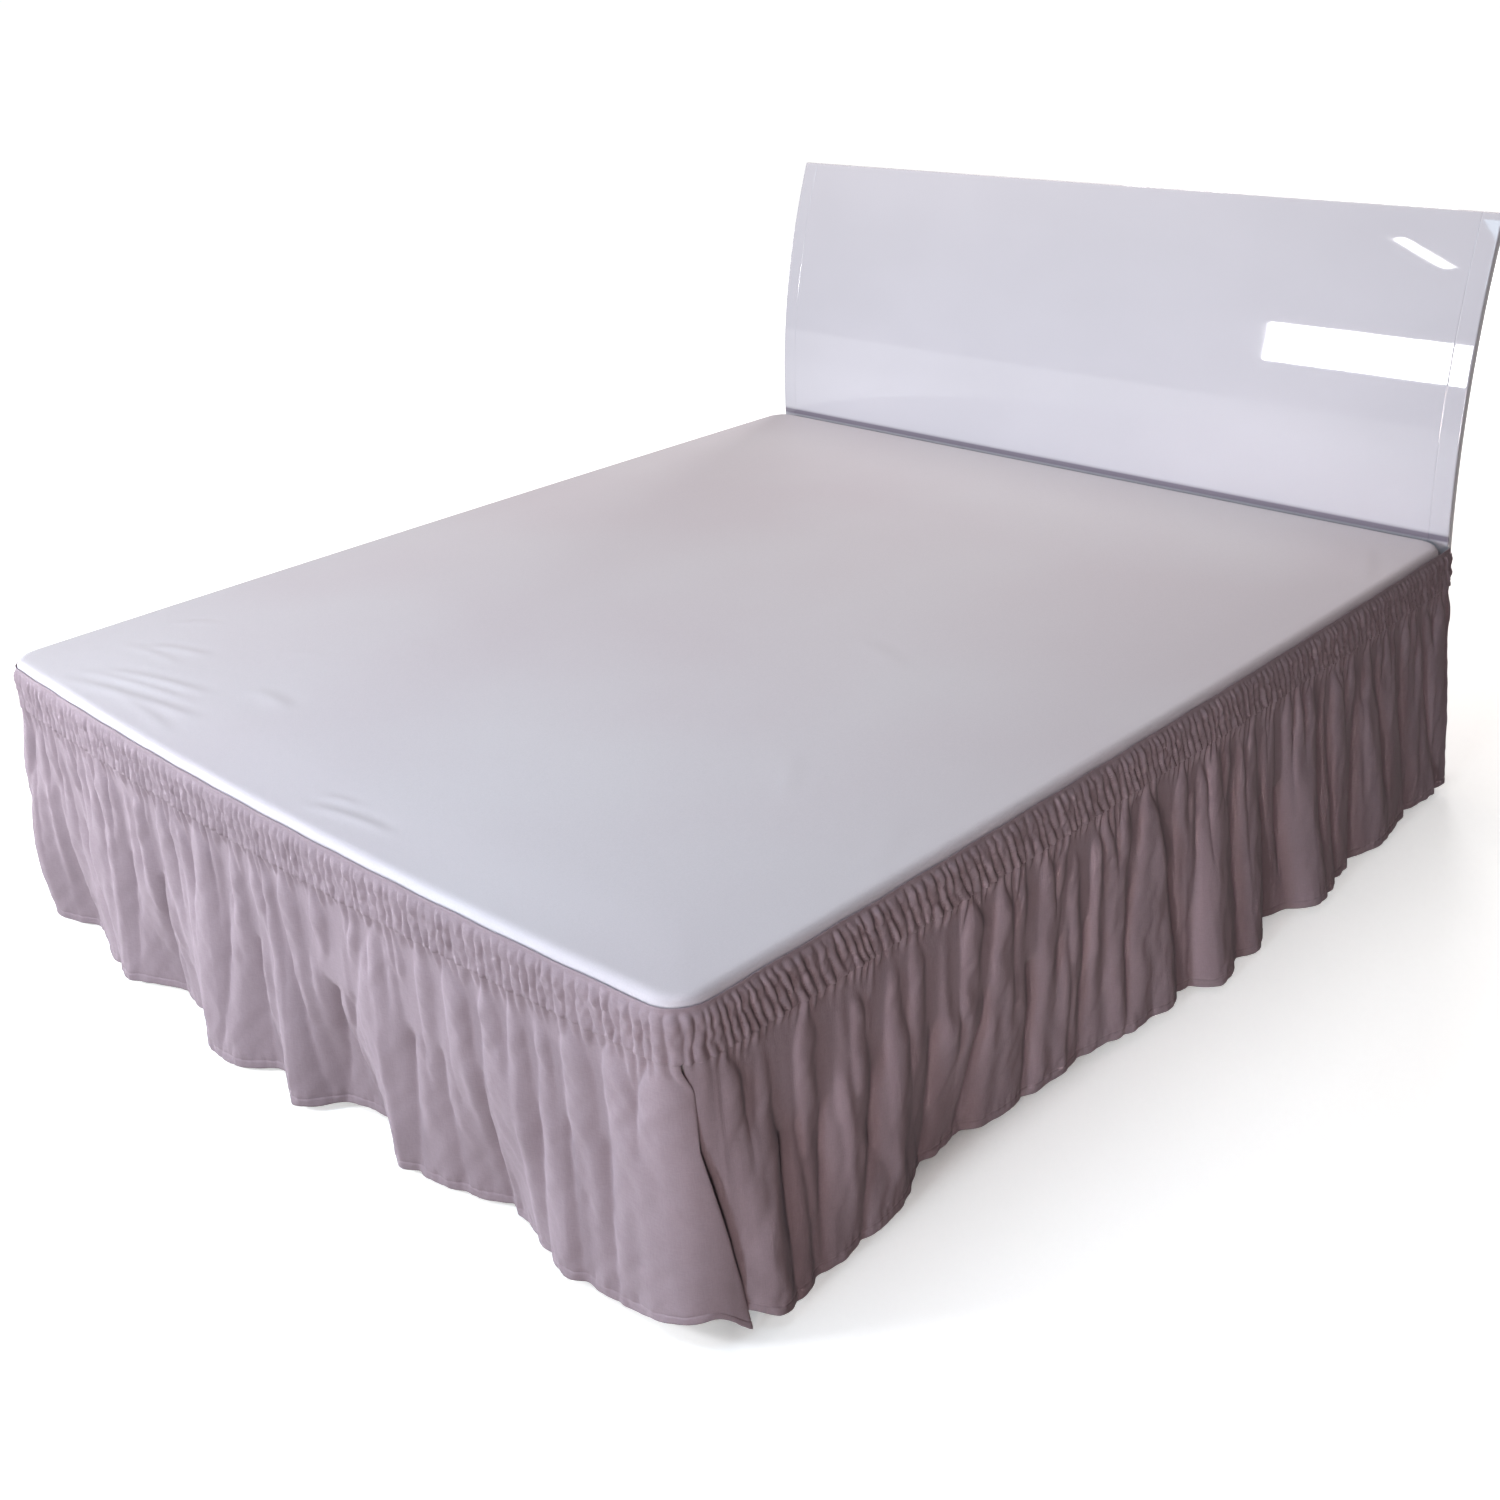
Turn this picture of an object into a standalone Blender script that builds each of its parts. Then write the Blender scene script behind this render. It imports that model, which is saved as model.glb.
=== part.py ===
"""Bed skirt on a bed: a shirred elastic heading with gathered drops on three sides.

Metres, +Z up. X runs across the bed, the foot faces -Y and the headboard stands at +Y.
The origin is on the floor under the middle of the object.
"""
import math
import random

import bmesh
import bpy
import numpy as np
from mathutils import Vector

# Bed, overall
BED_WIDTH = 1.80
BED_LENGTH = 2.00
FOOT_BOW = 0.026
SIDE_BOW = 0.009
PLAN_CORNER = 0.050
HEAD_CORNER = 0.020

# Mattress
MATTRESS_TOP = 0.524
MATTRESS_DEPTH = 0.250
MATTRESS_ROUND = 0.020
BOW_CUTS = 10

# Base under the mattress
BASE_INSET = 0.070
PIECE_GAP = 0.0003

# Headboard
HEAD_WIDTH = 1.79
HEAD_GAP = 0.012
HEAD_THICK = 0.018
HEAD_TOP = 1.126
HEAD_BEND_FROM = 0.504
HEAD_LEAN = 0.128
HEAD_ROUND = 0.004

# Cloth
CLOTH = 0.0016
HEADING_TOP = 0.504
HEADING_HEIGHT = 0.070
PLAIN_STRIP = 0.012
HEM_HEIGHT = 0.008
PUCKER_PITCH = 0.0288
PUCKER_REACH = 0.0040
BAND_CLEAR = 0.0010
BAND_MIDDLE = BAND_CLEAR + CLOTH / 2 + PUCKER_REACH
DROP_ROWS = (0.0, 0.14, 0.36, 0.66, 1.0)
SPLIT_GAP = 0.004
FLAP_SWEEP = 0.055
FLAP_WIDTH = 0.130
FLAP_REACH = 0.013
FLAP_FROM = 0.24
FAR_FLAP_REACH = 0.036
TUCK_WIDTH = 0.060
TUCK_DEPTH = 0.020
HEAD_OVERRUN = 0.008

# How far the middle of the whole object lies behind the middle of the mattress
CENTRE_Y = 0.0403

# How the folds grow down the drop: outward ones over its whole height, inward ones only below the mattress
GROWTH = 1.25
VALLEY_FROM = 0.40
BULGE = 0.008
CREASE_WIDTH = 0.016
CREASE_AT = (0.12, 0.68)
GATHER = 0.0030
CORNER_LIFT = 0.020

# The hem seen from above: place along the side (m), reach out from the mattress edge (m)
FOOT_HEM = (
    (-0.020, 0.015),
    (0.040, 0.019),
    (0.070, 0.011),
    (0.110, -0.007),
    (0.150, -0.010),
    (0.300, 0.028),
    (0.370, 0.045),
    (0.400, 0.028),
    (0.450, -0.003),
    (0.530, -0.010),
    (0.600, 0.004),
    (0.660, 0.042),
    (0.715, 0.052),
    (0.750, 0.041),
    (0.810, 0.004),
    (0.850, -0.002),
    (0.920, 0.043),
    (0.945, 0.031),
    (1.000, -0.022),
    (1.040, -0.037),
    (1.090, -0.036),
    (1.175, 0.021),
    (1.220, 0.012),
    (1.300, 0.000),
    (1.390, -0.026),
    (1.430, -0.020),
    (1.500, 0.010),
    (1.565, 0.029),
    (1.600, 0.018),
    (1.700, 0.018),
    (1.800, 0.017),
)
RIGHT_HEM = (
    (0.000, 0.010),
    (0.060, 0.014),
    (0.095, 0.040),
    (0.130, 0.036),
    (0.180, 0.023),
    (0.270, 0.021),
    (0.350, 0.014),
    (0.430, -0.024),
    (0.540, -0.032),
    (0.570, -0.020),
    (0.660, -0.010),
    (0.720, -0.004),
    (0.800, -0.003),
    (0.860, 0.004),
    (0.895, 0.026),
    (0.960, 0.018),
    (0.990, 0.031),
    (1.020, 0.030),
    (1.060, 0.018),
    (1.110, 0.060),
    (1.145, 0.056),
    (1.200, 0.034),
    (1.235, 0.053),
    (1.330, 0.004),
    (1.370, 0.012),
    (1.440, 0.060),
    (1.475, 0.061),
    (1.550, 0.040),
    (1.630, 0.024),
    (1.690, 0.039),
    (1.730, 0.038),
    (1.860, 0.018),
    (1.930, 0.029),
    (2.010, 0.028),
)
# Long creases: place near the heading (m), place near the hem (m), depth (m), where it ends (part of the drop)
FOOT_CREASES = (
    (0.065, 0.007, 0.009, 1.00),
    (0.190, 0.262, 0.008, 1.00),
    (0.282, 0.295, 0.006, 0.45),
    (0.424, 0.399, 0.009, 1.00),
    (0.467, 0.462, 0.006, 0.55),
    (0.540, 0.505, 0.009, 1.00),
    (0.673, 0.660, 0.006, 0.45),
    (0.777, 0.735, 0.010, 1.00),
    (0.849, 0.826, 0.008, 1.00),
    (0.927, 0.954, 0.009, 1.00),
    (1.008, 1.000, 0.006, 0.45),
    (1.083, 1.017, 0.011, 1.00),
    (1.147, 1.060, 0.007, 0.90),
    (1.204, 1.195, 0.006, 0.45),
    (1.260, 1.228, 0.008, 1.00),
    (1.319, 1.305, 0.008, 1.00),
    (1.408, 1.391, 0.010, 1.00),
    (1.467, 1.460, 0.006, 0.40),
    (1.524, 1.512, 0.008, 1.00),
    (1.574, 1.579, 0.008, 1.00),
    (1.647, 1.647, 0.008, 1.00),
)
RIGHT_CREASES = (
    (0.044, 0.017, 0.007, 0.80),
    (0.110, 0.105, 0.006, 0.45),
    (0.154, 0.141, 0.009, 1.00),
    (0.234, 0.209, 0.009, 1.00),
    (0.275, 0.280, 0.006, 0.45),
    (0.345, 0.299, 0.009, 1.00),
    (0.391, 0.395, 0.006, 0.40),
    (0.445, 0.445, 0.010, 1.00),
    (0.489, 0.480, 0.006, 0.50),
    (0.577, 0.546, 0.009, 1.00),
    (0.668, 0.668, 0.010, 1.00),
    (0.758, 0.724, 0.007, 0.70),
    (0.806, 0.800, 0.009, 1.00),
    (0.927, 0.905, 0.009, 1.00),
    (1.011, 1.034, 0.011, 1.00),
    (1.104, 1.090, 0.008, 1.00),
    (1.213, 1.206, 0.010, 1.00),
    (1.293, 1.321, 0.010, 1.00),
    (1.354, 1.378, 0.008, 1.00),
    (1.489, 1.480, 0.009, 1.00),
    (1.534, 1.532, 0.007, 1.00),
    (1.642, 1.622, 0.010, 1.00),
    (1.710, 1.743, 0.008, 0.90),
    (1.800, 1.836, 0.009, 1.00),
    (1.900, 1.944, 0.009, 1.00),
)
LEFT_SEED = 41


def clear_scene():
    for item in list(bpy.data.objects):
        bpy.data.objects.remove(item, do_unlink=True)


def smooth(t):
    t = min(max(t, 0.0), 1.0)
    return t * t * (3.0 - 2.0 * t)


def side_outline():
    """The mattress edge as a polyline from the head of the left side round to the head of the right side."""
    half_w = BED_WIDTH / 2
    half_l = BED_LENGTH / 2
    r = PLAN_CORNER
    points = []
    steps = 120
    head = half_l + HEAD_OVERRUN
    for i in range(steps):
        y = head - (head + half_l - r) * i / steps
        points.append((-half_w - SIDE_BOW * max(0.0, 1 - (y / half_l) ** 2), y))
    for i in range(24):
        a = math.pi + (math.pi / 2) * i / 24
        points.append((-half_w + r + r * math.cos(a), -half_l + r + r * math.sin(a)))
    for i in range(steps):
        x = -half_w + r + (BED_WIDTH - 2 * r) * i / steps
        points.append((x, -half_l - FOOT_BOW * (1 - (x / (half_w - r)) ** 2)))
    for i in range(24):
        a = -math.pi / 2 + (math.pi / 2) * i / 24
        points.append((half_w - r + r * math.cos(a), -half_l + r + r * math.sin(a)))
    for i in range(steps + 1):
        y = -half_l + r + (head + half_l - r) * i / steps
        points.append((half_w + SIDE_BOW * max(0.0, 1 - (y / half_l) ** 2), y))
    return np.array(points)


OUTLINE = side_outline()
STEP = np.linalg.norm(np.diff(OUTLINE, axis=0), axis=1)
ALONG = np.concatenate(([0.0], np.cumsum(STEP)))
PATH_LENGTH = float(ALONG[-1])
LEFT_CORNER = float(ALONG[132])
RIGHT_CORNER = PATH_LENGTH - LEFT_CORNER
FOOT_MIDDLE = PATH_LENGTH / 2
FOOT_ZERO = FOOT_MIDDLE - BED_WIDTH / 2
RIGHT_ZERO = PATH_LENGTH - BED_LENGTH - HEAD_OVERRUN
LEFT_ZERO = BED_LENGTH + HEAD_OVERRUN


def place(u, reach, z):
    """The point at distance u along the edge, pushed outward by reach, at height z."""
    ahead = 0.004
    a = np.array([np.interp(u - ahead, ALONG, OUTLINE[:, k]) for k in (0, 1)])
    b = np.array([np.interp(u + ahead, ALONG, OUTLINE[:, k]) for k in (0, 1)])
    c = np.array([np.interp(u, ALONG, OUTLINE[:, k]) for k in (0, 1)])
    t = (b - a) / np.linalg.norm(b - a)
    return Vector((c[0] + t[1] * reach, c[1] - t[0] * reach - CENTRE_Y, z))


def left_side():
    """The hidden side: a hem and creases like the visible ones, at uneven spacing."""
    rng = random.Random(LEFT_SEED)
    hem = [(0.0, 0.020)]
    creases = []
    at = 0.09
    while at < BED_LENGTH - 0.10:
        crest = at
        valley = crest + rng.uniform(0.04, 0.07)
        hem.append((crest, rng.uniform(0.026, 0.0655)))
        hem.append((valley, rng.uniform(-0.025, 0.012)))
        creases.append((valley + rng.uniform(-0.02, 0.02), valley, 0.009, 1.0))
        creases.append((crest + rng.uniform(-0.02, 0.02), crest, 0.006, 0.45))
        at = valley + rng.uniform(0.05, 0.09)
    hem.append((BED_LENGTH, 0.022))
    return tuple(hem), tuple(creases)


LEFT_HEM, LEFT_CREASES = left_side()
# Each side: where its places count from, the sign they run with, its hem and its creases
SIDES = {
    "foot": (FOOT_ZERO, 1.0, FOOT_HEM, FOOT_CREASES),
    "right": (RIGHT_ZERO, 1.0, RIGHT_HEM, RIGHT_CREASES),
    "left": (LEFT_ZERO, -1.0, LEFT_HEM, LEFT_CREASES),
}


def fold_reach(side, u, h):
    """Outward reach of the hanging cloth beyond the heading, at distance u and drop fraction h from 0 to 1."""
    zero, sign, hem, creases = SIDES[side]
    at = (u - zero) * sign
    bulge = BULGE * smooth(h / 0.15)
    wanted = float(np.interp(at, [row[0] for row in hem], [row[1] for row in hem]))
    beyond = wanted - BAND_MIDDLE - BULGE
    grown = h ** GROWTH if beyond > 0 else smooth((h - VALLEY_FROM) / (1.0 - VALLEY_FROM))
    total = bulge + beyond * grown
    for near, low, depth, end in creases:
        track = near + (low - near) * (h - CREASE_AT[0]) / (CREASE_AT[1] - CREASE_AT[0])
        opening = smooth(h / 0.10) * (1.0 - smooth((h - end + 0.2) / 0.2) * (end < 1.0)) * (1.0 - 0.7 * h)
        total -= depth * opening * max(0.0, 1.0 - abs(at - track) / CREASE_WIDTH)
    gather = GATHER * math.sin(2 * math.pi * u / 0.0576 + 1.3 * math.sin(u * 7.0))
    gather *= math.sin(math.pi * min(1.0, h * 1.6)) if h < 0.625 else 0.0
    return total + gather


def band_reach(column, strength):
    """Middle of the shirred cloth: a zigzag of one column per side, standing clear of the mattress."""
    sign = 1.0 if column % 2 else -1.0
    return BAND_MIDDLE + sign * PUCKER_REACH * strength


def material(name, color, roughness, coat=0.0):
    mat = bpy.data.materials.new(name)
    mat.use_nodes = True
    shader = mat.node_tree.nodes["Principled BSDF"]
    shader.inputs["Base Color"].default_value = (color[0], color[1], color[2], 1.0)
    shader.inputs["Roughness"].default_value = roughness
    shader.inputs["Coat Weight"].default_value = coat
    return mat


def finish(name, bm, collection, mat):
    mesh = bpy.data.meshes.new(name)
    bmesh.ops.recalc_face_normals(bm, faces=bm.faces[:])
    bm.to_mesh(mesh)
    bm.free()
    item = bpy.data.objects.new(name, mesh)
    item.data.materials.append(mat)
    collection.objects.link(item)
    return item


def cloth(name, columns, rows, locate, collection, mat):
    """A grid of cloth, placed by locate(column, row), with its thickness added evenly on both faces."""
    bm = bmesh.new()
    bmesh.ops.create_grid(bm, x_segments=columns, y_segments=rows, size=0.5)
    for v in bm.verts:
        column = int(round((v.co.x + 0.5) * columns))
        row = int(round((v.co.y + 0.5) * rows))
        v.co = locate(column, row)
    item = finish(name, bm, collection, mat)
    thick = item.modifiers.new("Thickness", "SOLIDIFY")
    thick.thickness = CLOTH
    thick.offset = 0.0
    thick.use_even_offset = True
    return item


def build_heading(collection, mat):
    columns = int(round(PATH_LENGTH / (PUCKER_PITCH / 2)))
    levels = (HEADING_TOP, HEADING_TOP - PLAIN_STRIP, HEADING_TOP - HEADING_HEIGHT)
    strengths = (0.0, 0.9, 1.0)

    def locate(column, row):
        return place(PATH_LENGTH * column / columns, band_reach(column, strengths[row]), levels[row])

    return cloth("heading", columns, 2, locate, collection, mat), columns


def flap(distance, h):
    """How a foot corner's free edge sweeps round the corner, as (shift along the side, extra reach)."""
    weight = smooth(1.0 - distance / FLAP_WIDTH)
    return FLAP_SWEEP * weight * smooth((h - 0.36) / 0.64), weight


def build_drop(name, side, start, end, heading_columns, collection, mat):
    """A gathered drop: its columns follow the heading's, and its folds open toward the hem."""
    pitch = PATH_LENGTH / heading_columns
    first = int(round(start / pitch))
    last = int(round(end / pitch))
    top = HEADING_TOP - HEADING_HEIGHT - PIECE_GAP
    drop = top - HEM_HEIGHT

    def locate(column, row):
        h = DROP_ROWS[row]
        index = first + column
        u = pitch * index
        if column == 0 and side != "left":
            u += SPLIT_GAP / 2
        if column == last - first and side != "right":
            u -= SPLIT_GAP / 2
        zigzag = max(0.0, 1.0 - h / 0.2)
        folds = fold_reach(side, u, h)
        shift = 0.0
        corner = 0.0
        if side == "foot":
            near_shift, near = flap(last * pitch - u, h)
            far_shift, far = flap(u - first * pitch, h)
            shift = near_shift - 0.6 * far_shift
            corner = near
            folds += (FLAP_REACH * smooth(h / FLAP_FROM) - folds) * near
            folds += (FAR_FLAP_REACH * math.sin(math.pi * (0.06 + 0.66 * h)) - folds) * far * smooth(h / 0.3)
        else:
            from_corner = u - first * pitch if side == "right" else last * pitch - u
            tucked = smooth(from_corner / TUCK_WIDTH)
            folds = folds * tucked - TUCK_DEPTH * smooth((h - VALLEY_FROM) / 0.6) * (1.0 - tucked)
            corner = 1.0 - smooth(from_corner / FLAP_WIDTH) if side == "right" else 0.0
        floor_reach = BAND_CLEAR + CLOTH / 2 if h < VALLEY_FROM else -BASE_INSET + 0.010
        reach = max(band_reach(index, zigzag) + folds, floor_reach)
        lift = 0.006 * h * (0.5 + 0.5 * math.sin(u * 11.0)) + CORNER_LIFT * corner * h ** 3
        return place(u + shift, reach, top - drop * h + lift)

    return cloth(name, last - first, len(DROP_ROWS) - 1, locate, collection, mat)


def build_mattress(collection, mat):
    """A block with bowed sides, rounded in plan at its corners and along its top and bottom edges."""
    half_w = BED_WIDTH / 2
    half_l = BED_LENGTH / 2
    bm = bmesh.new()
    bmesh.ops.create_cube(bm, size=1.0)
    for v in bm.verts:
        v.co.x *= BED_WIDTH
        v.co.y *= BED_LENGTH
        v.co.z = MATTRESS_TOP - MATTRESS_DEPTH / 2 + v.co.z * MATTRESS_DEPTH
    upright = [e for e in bm.edges if abs(e.verts[0].co.z - e.verts[1].co.z) > 0.1]
    foot_edges = [e for e in upright if e.verts[0].co.y < 0]
    head_edges = [e for e in upright if e.verts[0].co.y > 0]
    bmesh.ops.bevel(bm, geom=foot_edges, offset=PLAN_CORNER, segments=6, profile=0.5, affect="EDGES")
    bmesh.ops.bevel(bm, geom=head_edges, offset=HEAD_CORNER, segments=3, profile=0.5, affect="EDGES")
    rims = [f for f in bm.faces if abs(f.normal.z) > 0.9]
    rim_edges = list({e for f in rims for e in f.edges})
    bmesh.ops.bevel(bm, geom=rim_edges, offset=MATTRESS_ROUND, segments=4, profile=0.5, affect="EDGES")
    for half, normal in ((half_w, Vector((1, 0, 0))), (half_l, Vector((0, 1, 0)))):
        for i in range(1, BOW_CUTS):
            at = (half - PLAN_CORNER) * (2 * i / BOW_CUTS - 1)
            bmesh.ops.bisect_plane(bm, geom=bm.verts[:] + bm.edges[:] + bm.faces[:], plane_co=normal * at,
                                   plane_no=normal, dist=1e-5)
    edge_zone = MATTRESS_ROUND + 0.001
    for v in bm.verts:
        x, y = v.co.x, v.co.y
        if abs(x) > half_w - edge_zone:
            v.co.x += math.copysign(SIDE_BOW * max(0.0, 1 - (y / half_l) ** 2), x)
        if y < -half_l + edge_zone:
            v.co.y -= FOOT_BOW * max(0.0, 1 - (x / (half_w - PLAN_CORNER)) ** 2)
        v.co.y -= CENTRE_Y
    return finish("mattress", bm, collection, mat)


def build_base(collection, mat):
    front = -BED_LENGTH / 2 + BASE_INSET
    back = BED_LENGTH / 2 + HEAD_GAP - PIECE_GAP
    bm = bmesh.new()
    bmesh.ops.create_cube(bm, size=1.0)
    height = MATTRESS_TOP - MATTRESS_DEPTH - PIECE_GAP
    for v in bm.verts:
        v.co.x *= BED_WIDTH - 2 * BASE_INSET
        v.co.y = (front + back) / 2 + v.co.y * (back - front) - CENTRE_Y
        v.co.z = (v.co.z + 0.5) * height
    return finish("bed_base", bm, collection, mat)


def build_headboard(collection, mat):
    """A flat panel to just above the mattress, then curving back to its top edge."""
    rows = 14
    bm = bmesh.new()
    bmesh.ops.create_grid(bm, x_segments=1, y_segments=rows, size=0.5)
    face = BED_LENGTH / 2 + HEAD_GAP - CENTRE_Y
    for v in bm.verts:
        row = int(round((v.co.y + 0.5) * rows))
        rise = HEAD_TOP - HEAD_BEND_FROM
        z = 0.0 if row == 0 else HEAD_BEND_FROM + rise * (row - 1) / (rows - 1)
        bend = max(0.0, (z - HEAD_BEND_FROM) / rise)
        v.co = Vector((v.co.x * HEAD_WIDTH, face + HEAD_LEAN * bend ** 2, z))
    bmesh.ops.recalc_face_normals(bm, faces=bm.faces[:])
    if sum(f.normal.y for f in bm.faces) > 0:
        bmesh.ops.reverse_faces(bm, faces=bm.faces[:])
    mesh = bpy.data.meshes.new("headboard")
    bm.to_mesh(mesh)
    bm.free()
    item = bpy.data.objects.new("headboard", mesh)
    item.data.materials.append(mat)
    collection.objects.link(item)
    thick = item.modifiers.new("Thickness", "SOLIDIFY")
    thick.thickness = HEAD_THICK
    thick.offset = -1.0
    thick.use_even_offset = True
    soft = item.modifiers.new("Softened edges", "BEVEL")
    soft.width = HEAD_ROUND
    soft.segments = 2
    soft.limit_method = "ANGLE"
    soft.angle_limit = math.radians(60)
    return item


def main():
    clear_scene()
    collection = bpy.data.collections.new("Bed skirt on a bed")
    bpy.context.scene.collection.children.link(collection)
    mauve = (0.42, 0.34, 0.40)
    build_mattress(collection, material("Mattress cover", (0.60, 0.60, 0.66), 0.55))
    build_base(collection, material("Base", (0.30, 0.27, 0.26), 0.8))
    build_headboard(collection, material("Headboard lacquer", (0.72, 0.72, 0.80), 0.12, 0.6))
    heading, columns = build_heading(collection, material("Heading cloth", mauve, 0.9))
    build_drop("drop_left", "left", 0.0, LEFT_CORNER, columns, collection,
               material("Left drop cloth", mauve, 0.9))
    build_drop("drop_foot", "foot", LEFT_CORNER, RIGHT_CORNER, columns, collection,
               material("Foot drop cloth", mauve, 0.9))
    build_drop("drop_right", "right", RIGHT_CORNER, PATH_LENGTH, columns, collection,
               material("Right drop cloth", mauve, 0.9))


main()
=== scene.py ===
"""Bed skirt on a bed: the fine cloth, the mattress, the lacquered headboard, the light and the camera.

Metres, +Z up, in the same frame as the solids. The foot of the bed faces -Y.
"""

import math
import random

import bpy
import numpy as np
from mathutils import Matrix, Vector


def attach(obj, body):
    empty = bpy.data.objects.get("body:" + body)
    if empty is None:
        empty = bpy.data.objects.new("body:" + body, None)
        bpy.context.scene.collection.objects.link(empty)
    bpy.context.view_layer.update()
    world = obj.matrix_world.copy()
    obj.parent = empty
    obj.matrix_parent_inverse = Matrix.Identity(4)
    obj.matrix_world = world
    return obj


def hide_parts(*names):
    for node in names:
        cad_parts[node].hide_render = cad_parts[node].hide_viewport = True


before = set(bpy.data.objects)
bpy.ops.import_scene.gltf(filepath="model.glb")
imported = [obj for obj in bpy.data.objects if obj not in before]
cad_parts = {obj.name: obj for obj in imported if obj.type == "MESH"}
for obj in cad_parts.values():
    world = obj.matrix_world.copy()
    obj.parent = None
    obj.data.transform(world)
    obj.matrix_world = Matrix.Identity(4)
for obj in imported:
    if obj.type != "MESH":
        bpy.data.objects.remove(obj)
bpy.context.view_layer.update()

# Bed, overall
BED_WIDTH = 1.80
BED_LENGTH = 2.00
HALF_WIDTH = BED_WIDTH / 2
HALF_LENGTH = BED_LENGTH / 2
FOOT_BOW = 0.026
SIDE_BOW = 0.009
PLAN_CORNER = 0.050
CENTRE_Y = 0.0403
EDGE_STEPS = 120
CORNER_STEPS = 24
LOOK_AHEAD = 0.004
NO_LENGTH = 1e-12

# Mattress
MATTRESS_TOP = 0.524
MATTRESS_ROUND = 0.020
MATTRESS_CROWN = 0.003
CROWN_WIDTH = 0.16
CROWN_EDGE = 0.02
BOW_FROM = 0.55
BOW_OVER = 0.45
# The side's rings below the rounded rim: height (m), how far in from the edge (m)
MATTRESS_SIDE = ((0.440, 0.0), (0.340, 0.0), (0.286, 0.0), (0.2775, 0.0035), (0.274, 0.012))
CORNER_LINES = 13
RIM_LINES = 8
COARSE_GRID = 0.012
FINE_GRID = 0.005
FINE_X = (-0.88, -0.20)
FINE_Y = (-0.96, -0.66)
WRINKLE_BEND = 0.010
WRINKLE_ENDS = 0.35
WRINKLE_HOLLOW = 0.45
WRINKLE_HOLLOW_AT = 1.9
WRINKLE_EDGE = 0.03
TICKING_COLOR = (0.50, 0.485, 0.530)
TICKING_WARM = (0.985, 0.955, 0.965)
STIPPLE_RELIEF = 0.12

# Headboard
HEAD_WIDTH = 1.79
HEAD_GAP = 0.012
HEAD_THICK = 0.018
HEAD_TOP = 1.126
HEAD_BEND_FROM = 0.504
HEAD_LEAN = 0.128
HEAD_ROUND = 0.003
HEAD_ROUND_LINES = 5
HEAD_UPRIGHT_FROM = 0.10
HEAD_UPRIGHT_ROWS = 5
HEAD_BENT_ROWS = 56
HEAD_FRONT_LINES = 30
HEAD_FRONT_MARGIN = 0.03
HEAD_BACK_LINES = 16
HEAD_BACK_MARGIN = 0.06
INLAY_FROM_EDGE = 0.040
INLAY_WIDTH = 0.0022
INLAY_DEPTH = 0.0006
# The inlay's groove: place across it (part of its width), depth (part of its depth)
INLAY_GROOVE = ((-0.5, 0.0), (-0.3, 0.8), (0.0, 1.0), (0.3, 0.8), (0.5, 0.0))
SUPPORT = 0.0008
SLOPE_STEP = 1e-4
TINY = 1e-6
LACQUER_COLOR = (0.515, 0.508, 0.556)
# Painted contact shadow: a dark band drawn into the lacquer's colour on the panel's front, where the mattress
# meets it, in place of the shade there
CONTACT_SHADOW_Z = 0.523
CONTACT_SHADOW_HALF = 0.0065
CONTACT_SHADOW_EASE = (0.6, 1.4)
CONTACT_SHADOW_COLOR = (0.36, 0.33, 0.38)
CONTACT_SHADOW_FRONT = 0.974
CONTACT_SHADOW_FADE = 10.0

# Base
BOARD_DARK = (0.10, 0.075, 0.06)
BOARD_LIGHT = (0.17, 0.13, 0.10)

# Cloth, overall
CLOTH = 0.0016
HEM_CLOTH = 0.0024
CLOTH_COLOR = (0.280, 0.226, 0.260)
THREAD_RELIEF = 0.35
HEADING_TOP = 0.504
HEADING_HEIGHT = 0.070
HEADING_RISE = 0.0045
HEM_HEIGHT = 0.008
DROP_TOP = HEADING_TOP - HEADING_HEIGHT - 0.0003
DROP = DROP_TOP - HEM_HEIGHT
BAND_CLEAR = 0.0010
LOWEST_REACH = BAND_CLEAR + CLOTH / 2
BAND_MIDDLE = 0.0068
HEAD_OVERRUN = 0.008
BASE_INSET = 0.070
SPLIT_GAP = 0.004

# Heading
PLAIN_STRIP = 0.012
# Rows of points, as parts of the height: in the strip, then the first, last and number of even ones
STRIP_ROWS = (0.0, 0.035, 0.085, 0.13, 0.165)
PUCKER_ROWS = (0.20, 1.0, 13)
STRIP_HOLDS = 0.30
STRIP_EASE = 1.1
STRIP_PUCKERS = 0.10
PUCKER_MIDDLE = 0.0068
PUCKER_RISE = 0.0052
PUCKER_ROUND = 0.75
PUCKER_CRESTS = (0.05, 1.0)
PUCKER_VALLEYS = (0.35, 1.0)
FOOT_PUCKERS = 0.70
SIDE_PUCKERS = 0.80
PUCKER_BLEND = 0.1
ELASTIC_ROWS = (0.20, 0.46, 0.72, 0.97)
ELASTIC_HALF = 0.040
ELASTIC_FLATTENS = 0.30
ELASTIC_DIP = 0.0008
PINCH_LEVELS = (0.0, 0.20, 0.46, 0.72, 1.0)
PINCH_FIRST = 0.004
PINCH_BEYOND = 0.04
PINCH_STRAY = (-0.0034, 0.0034)
PINCH_SLANT = 0.024
SLANT_BLEND = 0.15
FOOT_PITCH = (0.0125, 0.0275)
RIGHT_PITCH = (0.0115, 0.0200)
LOWER_EDGE_FLARE = 0.0012
LOWER_EDGE_FROM = 0.88
LOWER_EDGE_OVER = 0.10
UPPER_EDGE = 0.05
UPPER_EDGE_WAVE = 0.0006
UPPER_EDGE_WAVES = 47.0
UPPER_EDGE_RIPPLE = 0.0005
RUMPLE_SHARE = 0.75
RUMPLE_COUNT = 12
RUMPLE_LENGTHS = (0.008, 0.026)
HEADING_PITCH = 0.0018
HIDDEN_PITCH = 0.0045
FINE_BEFORE_CORNER = 0.1

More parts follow.
